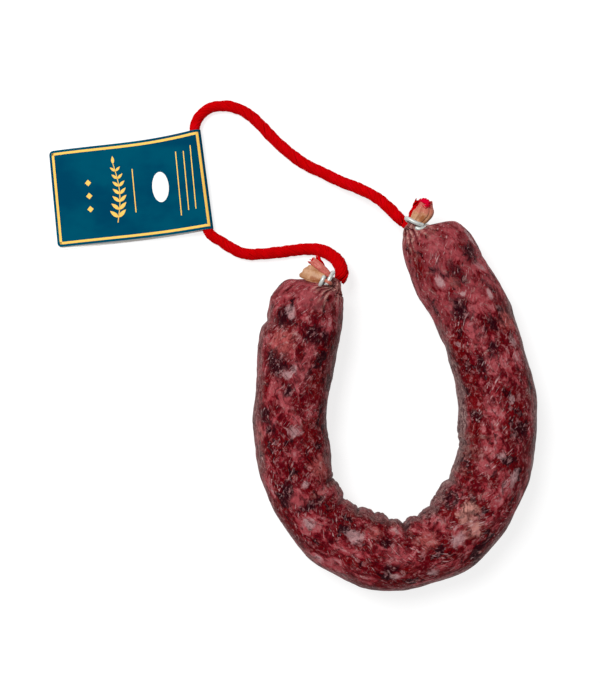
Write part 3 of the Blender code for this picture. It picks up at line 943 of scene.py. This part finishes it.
def lay_tube(name, route, radii, sides, squash=1.0):
    """Tube of changing radius along a route in mm, with rounded shut ends and a fibre map on it."""
    tangents, sideways, upward = tube_frames(route)
    item, run, share = add_grid(name, len(route) - 1, sides)
    index = np.rint(run * (len(route) - 1)).astype(int)
    turn = share * 2.0 * math.pi
    radius = np.broadcast_to(radii, len(route))[index][:, None]
    places = route[index] + radius * (
        sideways[index] * np.cos(turn)[:, None] + upward[index] * np.sin(turn)[:, None] * squash)
    set_coordinates(item, places * MM)
    far = marks_along(route)
    fibre = np.stack([far[index], radius[:, 0] * np.cos(turn), radius[:, 0] * np.sin(turn)], axis=1)
    add_attribute(item, "fibre", fibre * MM, "FLOAT_VECTOR")
    close_seam(item)
    return item


def round_ends(count, steps=4):
    """Radius shares along a tube that closes round at both ends."""
    radii = np.ones(count)
    for step in range(steps):
        share = math.sin(math.pi / 2.0 * (step + 0.35) / steps)
        radii[step] = share
        radii[-1 - step] = share
    return radii


def yarn_material(name, yarn, bright, low, high, strength):
    """Matt twisted fibres with brighter clouds, which begin at low and are full at high of a noise."""
    f = Finish(name, Specular_IOR_Level=0.02)
    fibre = f.attribute("fibre", "Vector")
    hairs = f.noise(fibre, (2.2, 0.13, 0.13), 3.0, 0.6)
    clouds = f.noise(f.own_place(), (4.0, 4.0, 4.0), 3.0)
    colour = f.mix(f.rise(hairs, 0.3, 0.72), screen(154, 0, 3), yarn)
    colour = f.tint(colour, f.rise(clouds, low, high), strength, bright)
    return f.done(colour, 0.9, f.bump(hairs, 0.6, 0.12))


def lay_yarn(name, points, thickness, strands, lead, fray=0.0, full_start=0.0, seed=1):
    """Strands wound round a middle line, all joined in one mesh.

    fray loosens the far end, and full_start swells the near one, both as shares of the thickness.
    """
    steps = max(8, round(curve_length(points) / YARN_STEP))
    route = smooth_curve(points, np.linspace(0.0, 1.0, steps + 1))
    tangents, sideways, upward = tube_frames(route)
    far = marks_along(route)
    draw = random.Random(seed)
    core = thickness * 0.36
    spread = YARN_SPREAD * ease(route[:, 0], YARN_SPREAD_FROM, YARN_SPREAD_TO)
    swell = full_start * (1.0 - ease(far, 16.0, 34.0)) + spread
    pieces = [lay_tube(name + "_core", route, core * round_ends(len(route)), 10)]
    for strand in range(strands):
        phase = 2.0 * math.pi * (strand + draw.uniform(-0.12, 0.12)) / strands
        girth = thickness * draw.uniform(0.14, 0.17)
        slack = thickness * draw.uniform(0.385, 0.415)
        waver = np.array([draw.uniform(-1.0, 1.0) for _ in range(len(route) // WAVER_STEPS + 2)])
        waver = np.interp(np.arange(len(route)) / WAVER_STEPS, np.arange(len(waver)), waver)
        turn = phase + 2.0 * math.pi * far / lead + 0.14 * waver
        reach = slack * (1.0 + 0.07 * waver + swell)
        if fray:
            loose = ease(far / far[-1], 0.45, 1.0)
            reach = reach * (1.0 + fray * loose * draw.uniform(0.1, 1.0))
            turn = turn + loose * draw.uniform(-0.8, 0.8)
        line = route + sideways * (reach * np.cos(turn))[:, None]
        line += upward * (reach * np.sin(turn))[:, None]
        if fray:
            line = line[:len(line) - draw.randrange(0, 3)]
        line[:, 2] = np.maximum(line[:, 2], girth)
        pieces.append(lay_tube(name + "_strand", line, girth * round_ends(len(line)), 7, 0.85))
    return join(pieces, name), route


def lay_hairs(name, route, thickness, count, seed):
    """Loose fibres that lift off the yarn, each a thin tapering sliver."""
    draw = random.Random(seed)
    tangents, sideways, upward = tube_frames(route)
    shape = bmesh.new()
    for _ in range(count):
        place = draw.uniform(0.5, len(route) - 1.5)
        index = int(place)
        middle = Vector(route[index]).lerp(Vector(route[index + 1]), place - index)
        turn = draw.uniform(0.0, 2.0 * math.pi)
        out = Vector(sideways[index] * math.cos(turn) + upward[index] * math.sin(turn))
        run = Vector(tangents[index]) * draw.choice((-1.0, 1.0))
        side = out.cross(run)
        root = middle + out * thickness * HAIR_ROOT
        length = HAIR_LENGTH * draw.uniform(0.4, 1.3)
        lift = draw.uniform(0.15, 0.65)
        sway = draw.uniform(-0.4, 0.4)
        corners = []
        for step in range(4):
            share = step / 3.0
            spot = root + run * length * share + out * lift * length * share**1.6
            spot = spot + side * sway * share
            girth = HAIR_GIRTH * (1.05 - share)
            for across, up in ((1.0, -0.5), (-1.0, -0.5), (0.0, 1.0)):
                point = spot + side * across * girth + out * up * girth
                point.z = max(point.z, 0.02)
                corners.append(shape.verts.new(point * MM))
        for step in range(3):
            for corner in range(3):
                a = step * 3 + corner
                b = step * 3 + (corner + 1) % 3
                shape.faces.new((corners[a], corners[a + 3], corners[b + 3], corners[b]))
        shape.faces.new((corners[0], corners[1], corners[2]))
        shape.faces.new((corners[11], corners[10], corners[9]))
    item = mesh_object(shape, name)
    face_outwards(item)
    return item


def wire_material(trim):
    f = Finish("clip_metal", Metallic=0.4, Specular_IOR_Level=0.35)
    place = f.own_place()
    scuffs = f.noise(place, (1.6, 0.5, 0.8), 5.0, 0.65)
    smears = f.noise(place, (3.0, 3.0, 3.0), 3.0)
    colour = f.mix(f.rise(scuffs, 0.52, 0.72), trim.wire, screen(150, 152, 150))
    colour = f.tint(colour, f.rise(smears, 0.52, 0.7), 0.4, screen(190, 176, 166))
    rough = f.ramp(scuffs, ((0.35, 0.38), (0.7, 0.55)))
    return f.done(colour, rough, f.bump(scuffs, 0.1, 0.04))


def casing_scrap_material(trim):
    """Dry stained casing of the tails: tan, with pink stains, painted pale highlights, painted shade in
    its folds and a waxy look.
    """
    f = Finish("dry_casing", Specular_IOR_Level=0.2)
    place = f.own_place()
    stain = f.attribute("stain")
    blots = f.noise(place, (2.2, 2.2, 2.2), 4.0, 0.6)
    veins = f.noise(place, (0.6, 0.9, 0.6), 5.0, 0.65)
    colour = f.mix(f.rise(blots, 0.35, 0.7), trim.tan, screen(190, 146, 110))
    colour = f.tint(colour, f.rise(blots, 0.6, 0.75), 0.5, screen(160, 96, 50))
    pinkish = f.plus(stain, f.times(f.minus(blots, 0.5), 0.5))
    colour = f.mix(f.rise(pinkish, 0.3, 0.7), colour, trim.tail_pink)
    worn = f.times(f.minus(veins, 0.5), 2.2)
    brown = f.times(f.rise(f.plus(f.attribute("spot"), worn), 0.15, 1.0), 0.9)
    colour = f.tint(colour, brown, 0.85, screen(138, 66, 10))
    # Painted pale highlights on the crumpled casing
    colour = f.tint(colour, f.rise(veins, 0.5, 0.68), 0.3, screen(226, 176, 150))
    dark_veins = f.minus(1.0, f.rise(veins, 0.3, 0.45))
    colour = f.tint(colour, dark_veins, f.times(stain, 0.8), screen(140, 36, 34))
    # Painted shade in the folds
    colour = f.tint(colour, f.attribute("crevice"), 0.45, screen(126, 66, 44))
    return f.done(colour, f.ramp(blots, ((0.3, 0.32), (0.7, 0.5))), f.bump(veins, 0.4, 0.12))


def tag_profile(length):
    """Middle of the card from the back leaf's free edge, round the fold, to the front leaf's free edge.

    Columns are the distance from the free edge, the height and the leaf (0 back, 1 front).
    """
    radius = FOLD_REACH - CARD / 2.0
    rises = np.concatenate([
        TAG_CORNER * (1.0 - np.cos(np.linspace(0.0, math.pi / 2.0, 6))),
        np.linspace(TAG_CORNER, length, LEAF_STEPS + 1)[1:-1],
    ])
    back = np.stack([rises, np.full(len(rises), BACK_LEAF_HEIGHT), np.zeros(len(rises))], axis=1)
    drop = TAG_FOLD_HEIGHT + radius - FRONT_LEAF_HEIGHT
    tilt = math.atan2(drop, length)
    share = np.linspace(0.0, 1.0, FOLD_STEPS + 1)
    turn = -math.pi / 2.0 + share * (math.pi + tilt)
    fold = np.stack([
        length + radius * np.cos(turn), TAG_FOLD_HEIGHT + radius * np.sin(turn), share], axis=1)
    top_across, top_height = fold[-1, :2]
    height = FRONT_LEAF_HEIGHT + (top_height - FRONT_LEAF_HEIGHT) * rises / top_across
    front = np.stack([rises, height, np.ones(len(rises))], axis=1)[::-1]
    return np.concatenate([back, fold, front])


def card_axes(share):
    """Free edge, direction across to the fold, and length of the card at shares up its height."""
    free = np.array(TAG_FREE_EDGE[0]) + np.outer(share, np.subtract(TAG_FREE_EDGE[1], TAG_FREE_EDGE[0]))
    fold = np.array(TAG_FOLD_LINE[0]) + np.outer(share, np.subtract(TAG_FOLD_LINE[1], TAG_FOLD_LINE[0]))
    length = np.linalg.norm(fold - free, axis=1)
    return free, (fold - free) / length[:, None], length


def card_places(distance, share, height, leaf):
    """Places on the bowed card from the distance to its free edge and the share up its height.

    The back leaf has slipped down at its free edge, the corners there are cut round, and the middle of
    the card sags in plan.
    """
    free, across, length = card_axes(share)
    upward = np.subtract(TAG_FREE_EDGE[1], TAG_FREE_EDGE[0])
    upward = upward / np.linalg.norm(upward)
    into_corner = np.clip(TAG_CORNER - distance, 0.0, TAG_CORNER)
    cut = TAG_CORNER - np.sqrt(TAG_CORNER**2 - into_corner**2)
    fraction = np.clip(distance / length, 0.0, 1.0)
    shift = -BACK_LEAF_SLIP * (1.0 - leaf) * (1.0 - fraction) - cut * (2.0 * share - 1.0)
    shift -= (0.7 + 0.6 * share) * np.sin(math.pi * fraction**1.6)
    flat = free + across * distance[:, None] + np.outer(shift, upward)
    return np.column_stack([flat, height])


def lay_print(name, outlines, lift):
    """Flat printed shapes on the front leaf; outlines are (distance, up) in mm on the card."""
    shape = bmesh.new()
    for outline in outlines:
        points = np.array(outline, float)
        share = points[:, 1] / CARD_HEIGHT
        height = np.zeros(len(points))
        for index, length in enumerate(card_axes(share)[2]):
            profile = tag_profile(length)
            run = directions(profile[:, :2])
            outer = profile[:, :2] + np.column_stack([run[:, 1], -run[:, 0]]) * (CARD / 2.0 + lift)
            front = outer[profile[:, 2] > 0.6][::-1]
            height[index] = np.interp(points[index, 0], front[:, 0], front[:, 1])
        places = card_places(points[:, 0], share, height, np.ones(len(points)))
        rim = [shape.verts.new(Vector(place) * MM) for place in places]
        face = shape.faces.new(rim)
        face.normal_update()
        if face.normal.z < 0.0:
            face.normal_flip()
    item = mesh_object(shape, name)
    thicken(item, INK, 1.0)
    return item


def ribbon(line, width):
    """Outline quads of a thin line of constant width."""
    line = np.array(line, float)
    run = directions(line)
    side = np.column_stack([-run[:, 1], run[:, 0]]) * width / 2.0
    left = line + side
    right = line - side
    return [(left[i], right[i], right[i + 1], left[i + 1]) for i in range(len(line) - 1)]


def leaf_shape(root, heading, length, width):
    """Pointed leaf that starts at root."""
    share = np.linspace(0.0, 1.0, 9)
    bulge = np.sin(math.pi * share**0.85) * width / 2.0
    edge = np.concatenate([np.column_stack([share * length, bulge]),
                           np.column_stack([share * length, -bulge])[-2:0:-1]])
    turn = math.radians(heading)
    turned = edge @ np.array([[math.cos(turn), math.sin(turn)], [-math.sin(turn), math.cos(turn)]])
    return turned + np.array(root)


def gold_shapes(inset, width):
    """Frame line, a sprig with leaves and plain rules."""
    low, high = inset, CARD_HEIGHT - inset
    shapes = []
    for up in (low + width / 2.0, high - width / 2.0):
        far = card_axes(np.array([up / CARD_HEIGHT]))[2][0] + FOLD_REACH - inset
        shapes += ribbon(np.linspace((inset, up), (far, up), 90), width)
    ups = np.linspace(low, high, 24)
    near = np.full(24, inset + width / 2.0)
    shapes += ribbon(np.column_stack([near, ups]), width)
    strips = 5
    for strip in range(strips):
        back = inset + width * (strip + 0.5) / strips
        far = card_axes(ups / CARD_HEIGHT)[2] + FOLD_REACH - back
        shapes += ribbon(np.column_stack([far, ups]), width / strips * 1.1)
    stem = [(31.0 + 2.2 * math.sin((up - 9.0) / 9.5), up) for up in np.linspace(9.0, 38.0, 24)]
    shapes += ribbon(stem, STEM_WIDTH)
    for index in range(2, 23, 3):
        size = 5.6 - 0.11 * index
        shapes.append(leaf_shape(stem[index], 42.0, size, size * 0.36))
        shapes.append(leaf_shape(stem[index], 138.0, size, size * 0.36))
    shapes.append(leaf_shape(stem[-1], 90.0, 4.0, 1.5))
    for far, up in DIAMOND_MIDDLES:
        shapes.append([
            (far - DIAMOND_HALF, up), (far, up - DIAMOND_HALF),
            (far + DIAMOND_HALF, up), (far, up + DIAMOND_HALF)])
    for far, start, end in RULES:
        shapes += ribbon(np.linspace((far, start), (far, end), 8), RULE_WIDTH)
    return shapes


def make_card():
    """Card folded over the string: a grid bent to the profile, then given its thickness."""
    lengths = card_axes(np.array([0.0]))[2]
    columns = len(tag_profile(lengths[0]))
    item, run, share = add_grid("tag_card", columns - 1, CARD_ROWS)
    column = np.rint(run * (columns - 1)).astype(int)
    profile = np.array([tag_profile(length) for length in card_axes(share)[2]])
    distance, height, leaf = profile[np.arange(len(run)), column].T
    places = card_places(distance, share, height, leaf)
    set_coordinates(item, places * MM)
    thicken(item, CARD, 0.0, even=True)
    shell = coordinates(item) / MM
    first_side = np.arange(len(shell)) < len(places)
    rise = (shell[:len(places), 2] - places[:, 2])[leaf > 0.99].mean()
    add_attribute(item, "printed", first_side if rise > 0.0 else ~first_side)
    activate(item)
    bpy.ops.object.shade_smooth_by_angle(angle=math.radians(40.0))
    return item


def card_material(tag):
    """Petrol print on the outside of a white card, a little scuffed in small spots."""
    f = Finish("printed_card", Specular_IOR_Level=0.0)
    place = f.own_place()
    grain = f.noise(place, (0.5, 0.5, 0.5), 4.0)
    clouds = f.noise(place, (26.0, 18.0, 18.0), 3.0)
    petrol = f.mix(f.rise(clouds, 0.35, 0.65), tag.petrol, screen(0, 74, 97))
    petrol = f.tint(petrol, f.rise(grain, 0.55, 0.75), 0.25, screen(0, 50, 70))
    scuffs = f.noise(place, (1.4, 2.2, 1.4), 6.0, 0.75)
    petrol = f.tint(petrol, f.rise(scuffs, 0.7, 0.78), 0.5, screen(90, 140, 150))
    outside = f.rise(f.attribute("printed"), 0.4, 0.6)
    colour = f.mix(outside, tag.paper, petrol)
    return f.done(colour, f.ramp(grain, ((0.3, 0.34), (0.7, 0.46))), f.bump(grain, 0.15, 0.05))


def ink_material(name, colour, low, strength, worn):
    """Smooth opaque ink, worn to another shade in small spots that begin at low of a noise."""
    f = Finish(name, Specular_IOR_Level=0.05)
    wear = f.noise(f.own_place(), (0.8, 0.8, 0.8), 5.0, 0.7)
    ink = f.tint(colour, f.rise(wear, low, 0.7), strength, worn)
    return f.done(ink, 0.4, f.bump(wear, 0.1, 0.03))


def make_bag(name, stations, pitch, sides, folds, seed, mouth, torn, stain, spots=()):
    """Creased end of the casing beyond a clip: a thin open bag with a torn rim.

    torn is how ragged the rim is and mouth how far its upper side is torn back, as shares of the
    length. stain says how pink the casing is at the clip and at the rim, and spots are brown marks
    as (x, y, radius).
    """
    steps = round(curve_length(stations) / pitch)
    item, run, share = add_grid(name, steps, sides)
    angle = share * 2.0 * math.pi
    pulled = torn * (0.5 + 0.3 * np.sin(2.0 * angle + seed) + 0.2 * np.sin(5.0 * angle + 2.0 * seed))
    pulled += mouth * np.clip(0.5 + np.sin(angle), 0.0, 1.0)
    far = run * (1.0 - pulled * run**2)
    ring = smooth_curve(stations, far)
    crumple = ring[:, :3] + np.column_stack([np.cos(angle) * 2.0, np.sin(angle) * 2.0, far * 4.0])
    wave = np.sin(folds * angle + 1.7 * np.sin(3.0 * far + seed) + 1.2 * np.sin(2.0 * angle))
    valley = np.clip(-wave, 0.0, 1.0) ** 2
    size = np.minimum(ring[:, 4], ring[:, 5])
    reach = 1.0 - (0.10 + 0.05 * far) * valley * np.minimum(size, 2.5) / 2.5
    reach += 0.05 * soft_noise(crumple, 1.6, seed + 1) * np.minimum(far * 4.0, 1.0)
    heading = np.radians(ring[:, 3])
    across = ring[:, 4] * reach * np.cos(angle)
    places = np.column_stack([
        ring[:, 0] - np.sin(heading) * across,
        ring[:, 1] + np.cos(heading) * across,
        ring[:, 2] + ring[:, 5] * reach * np.sin(angle) + 0.25 * far * soft_noise(crumple, 2.3, seed),
    ])
    set_coordinates(item, places * MM)
    # Painted shade in the valleys of the folds, strongest at the clip
    add_attribute(item, "crevice", valley * (0.4 + 0.6 * (1.0 - far)))
    add_attribute(item, "stain", stain[0] + (stain[1] - stain[0]) * far)
    marks = np.zeros(len(run))
    for x, y, radius in spots:
        away = np.hypot(places[:, 0] - x, places[:, 1] - y)
        marks = np.maximum(marks, 1.0 - ease(away, 0.3 * radius, radius))
    add_attribute(item, "spot", marks)
    close_seam(item, fill_ends=False)
    thicken(item, TAIL_WALL, -1.0)
    return item


class SAUSAGE_OT_stage(bpy.types.Operator):
    """Camera straight above, a white floor and soft light from the upper left"""
    bl_idname = "sausage.stage"
    bl_label = "Stage"

    def execute(self, context):
        settings = context.scene.sausage_stage
        deselect_all()
        distance = CAMERA_HEIGHT - SHARP_HEIGHT
        x, y = (value * MM for value in VIEW_MIDDLE)
        bpy.ops.object.camera_add(location=(x, y, CAMERA_HEIGHT * MM))
        camera = context.object
        camera.data.sensor_fit = "HORIZONTAL"
        camera.data.sensor_width = SENSOR
        camera.data.lens = SENSOR * distance / (PHOTO_WIDTH * PIXEL)
        context.scene.camera = camera

        bpy.ops.mesh.primitive_plane_add(size=FLOOR_SIZE, location=(0.0, 0.0, 0.0))
        floor = context.object
        floor.name = "floor"
        f = Finish("white_floor", Specular_IOR_Level=0.0, Emission_Strength=FLOOR_GLOW)
        f.feed(f.shader.inputs["Emission Color"], (1.0, 1.0, 1.0))
        speck = f.noise(f.own_place(), (40.0, 40.0, 40.0), 2.0)
        floor.data.materials.append(
            f.done(f.ramp(speck, ((0.3, 0.28), (0.7, 0.3))), 0.9, f.bump(speck, 0.02, 0.1)))

        bpy.ops.object.light_add(type="AREA", location=LAMP_PLACE)
        lamp = context.object
        lamp.data.shape = "DISK"
        lamp.data.size = LAMP_SIZE
        lamp.data.energy = settings.key
        aim = Vector((x, y, 0.0)) - lamp.location
        lamp.rotation_euler = aim.to_track_quat("-Z", "Y").to_euler()

        world = bpy.data.worlds.new("white_room")
        world.use_nodes = True
        background = world.node_tree.nodes["Background"]
        background.inputs["Color"].default_value = (1.0, 1.0, 1.0, 1.0)
        background.inputs["Strength"].default_value = settings.sky
        context.scene.world = world
        context.scene.view_settings.view_transform = "Standard"
        return {"FINISHED"}


class SAUSAGE_OT_string(bpy.types.Operator):
    """Twisted yarn from clip to clip through the tag, with its loose fibres"""
    bl_idname = "sausage.string"
    bl_label = "String"

    def execute(self, context):
        trim = context.scene.sausage_trim
        material = yarn_material("twisted_yarn", trim.yarn, screen(212, 0, 22), 0.45, 0.75, 0.35)
        magenta = yarn_material("frayed_yarn", trim.yarn, screen(206, 0, 44), 0.1, 0.6, 1.0)
        lead = trim.strand_lead / MM
        string, route = lay_yarn(
            "string_yarn", STRING_ROUTE, STRING, trim.strands, lead, full_start=0.26, seed=7)
        dress(string, material, "yarn", "string")
        fuzz = lay_hairs("string_fuzz", route, STRING, trim.hairs, 9)
        dress(fuzz, material, "yarn")
        left, _ = lay_yarn(
            "string_tip_left", LEFT_STRING_END, LEFT_END_THICKNESS, 18, END_LEAD, 0.4, seed=3)
        dress(left, material, "yarn", "string_end_left")
        right, _ = lay_yarn(
            "string_tip_right", RIGHT_STRING_END, RIGHT_END_THICKNESS, 12, END_LEAD, 0.35, seed=5)
        dress(right, material, "yarn", "string_end_right")
        curl, _ = lay_yarn("string_curl", FRAYED_CURL, CURL_THICKNESS, 9, CURL_LEAD, 0.5, seed=11)
        dress(curl, magenta, "yarn")
        return {"FINISHED"}


class SAUSAGE_OT_tag(bpy.types.Operator):
    """Folded card with its printed frame"""
    bl_idname = "sausage.tag"
    bl_label = "Tag"

    def execute(self, context):
        tag = context.scene.sausage_tag
        card = make_card()
        dress(card, card_material(tag), "card", "tag")
        gold = lay_print("tag_gold", gold_shapes(tag.frame_inset / MM, tag.frame_width / MM), PRINT_LIFT)
        gold_ink = ink_material("gold_ink", tag.gold, 0.35, 0.3, screen(255, 226, 130))
        white_ink = ink_material("white_ink", tag.paper, 0.5, 0.1, screen(200, 205, 205))
        dress(gold, gold_ink, "card")
        turns = np.linspace(0.0, 2.0 * math.pi, 48, endpoint=False)
        oval = OVAL_MIDDLE + np.column_stack([np.cos(turns), np.sin(turns)]) * OVAL_HALF_SIZES
        dress(lay_print("tag_oval", [oval], PRINT_LIFT), white_ink, "card")
        return {"FINISHED"}


class SAUSAGE_OT_clips(bpy.types.Operator):
    """Wire clips pinched round the two necks"""
    bl_idname = "sausage.clips"
    bl_label = "Clips"

    def execute(self, context):
        material = wire_material(context.scene.sausage_trim)
        clips = (
            ("clip_wire_left", "clip_left", LEFT_CLIP),
            ("clip_wire_right", "clip_right", RIGHT_CLIP),
        )
        for name, node, points in clips:
            route = smooth_curve(points, np.linspace(0.0, 1.0, 121))
            wire = lay_tube(name, route, WIRE / 2.0 * round_ends(len(route), 3), 20)
            dress(wire, material, "clip_wire", node)
        return {"FINISHED"}


class SAUSAGE_OT_tails(bpy.types.Operator):
    """Ends of the casing beyond the clips"""
    bl_idname = "sausage.tails"
    bl_label = "Tails"

    def execute(self, context):
        material = casing_scrap_material(context.scene.sausage_trim)
        flap = make_bag("tail_flap", LEFT_END[NECK_STATION::-1], 0.14, 96, folds=5, seed=2,
                        torn=0.1, mouth=0.0, stain=(0.1, 0.05), spots=FLAP_SPOTS)
        strip = make_bag("tail_strip", LEFT_STRIP, 0.16, 64, folds=7, seed=5,
                         torn=0.1, mouth=0.0, stain=(1.0, 0.8))
        route = smooth_curve(PINCHED_FOLD, np.linspace(0.0, 1.0, 30))
        fold = lay_tube("tail_fold", route, PINCHED_RADIUS * round_ends(len(route), 8), 16)
        add_attribute(fold, "stain", np.full(len(fold.data.vertices), 0.6))
        left = join([flap, strip, fold], "tail_left")
        dress(left, material, "casing", "sausage")
        right = make_bag("tail_right", RIGHT_END[NECK_STATION_RIGHT:], 0.13, 120, folds=9, seed=4,
                         torn=0.12, mouth=0.12, stain=(0.15, 0.9), spots=BAG_SPOTS)
        dress(right, material, "casing", "sausage")
        return {"FINISHED"}


class SAUSAGE_OT_casing(bpy.types.Operator):
    """The sausage itself, from clip to clip"""
    bl_idname = "sausage.casing"
    bl_label = "Casing"

    def execute(self, context):
        look = context.scene.sausage_casing
        casing = make_casing(look)
        dress(casing, casing_material(look), "casing", "sausage")
        return {"FINISHED"}


class SAUSAGE_PT_panel(bpy.types.Panel):
    """Buttons and settings of the sausage"""
    bl_idname = "SAUSAGE_PT_panel"
    bl_label = "Cured Sausage"
    bl_space_type = "VIEW_3D"
    bl_region_type = "UI"
    bl_category = "Sausage"

    def draw(self, context):
        for operator in OPERATORS:
            self.layout.operator(operator.bl_idname)
        for name in SETTINGS:
            group = getattr(context.scene, name)
            box = self.layout.box()
            for field in group.bl_rna.properties.keys():
                if field not in ("rna_type", "name"):
                    box.prop(group, field)


OPERATORS = (
    SAUSAGE_OT_stage,
    SAUSAGE_OT_tag,
    SAUSAGE_OT_string,
    SAUSAGE_OT_clips,
    SAUSAGE_OT_tails,
    SAUSAGE_OT_casing,
)
SETTINGS = {
    "sausage_casing": CasingSettings,
    "sausage_trim": TrimSettings,
    "sausage_tag": TagSettings,
    "sausage_stage": StageSettings,
}


def register():
    for group in SETTINGS.values():
        bpy.utils.register_class(group)
    for operator in (*OPERATORS, SAUSAGE_PT_panel):
        bpy.utils.register_class(operator)
    for name, group in SETTINGS.items():
        setattr(bpy.types.Scene, name, bpy.props.PointerProperty(type=group))


def unregister():
    for name in SETTINGS:
        delattr(bpy.types.Scene, name)
    for operator in (*OPERATORS, SAUSAGE_PT_panel):
        bpy.utils.unregister_class(operator)
    for group in SETTINGS.values():
        bpy.utils.unregister_class(group)


def main():
    register()
    for operator in OPERATORS:
        group, name = operator.bl_idname.split(".")
        getattr(getattr(bpy.ops, group), name)()


if __name__ == "__main__":
    main()
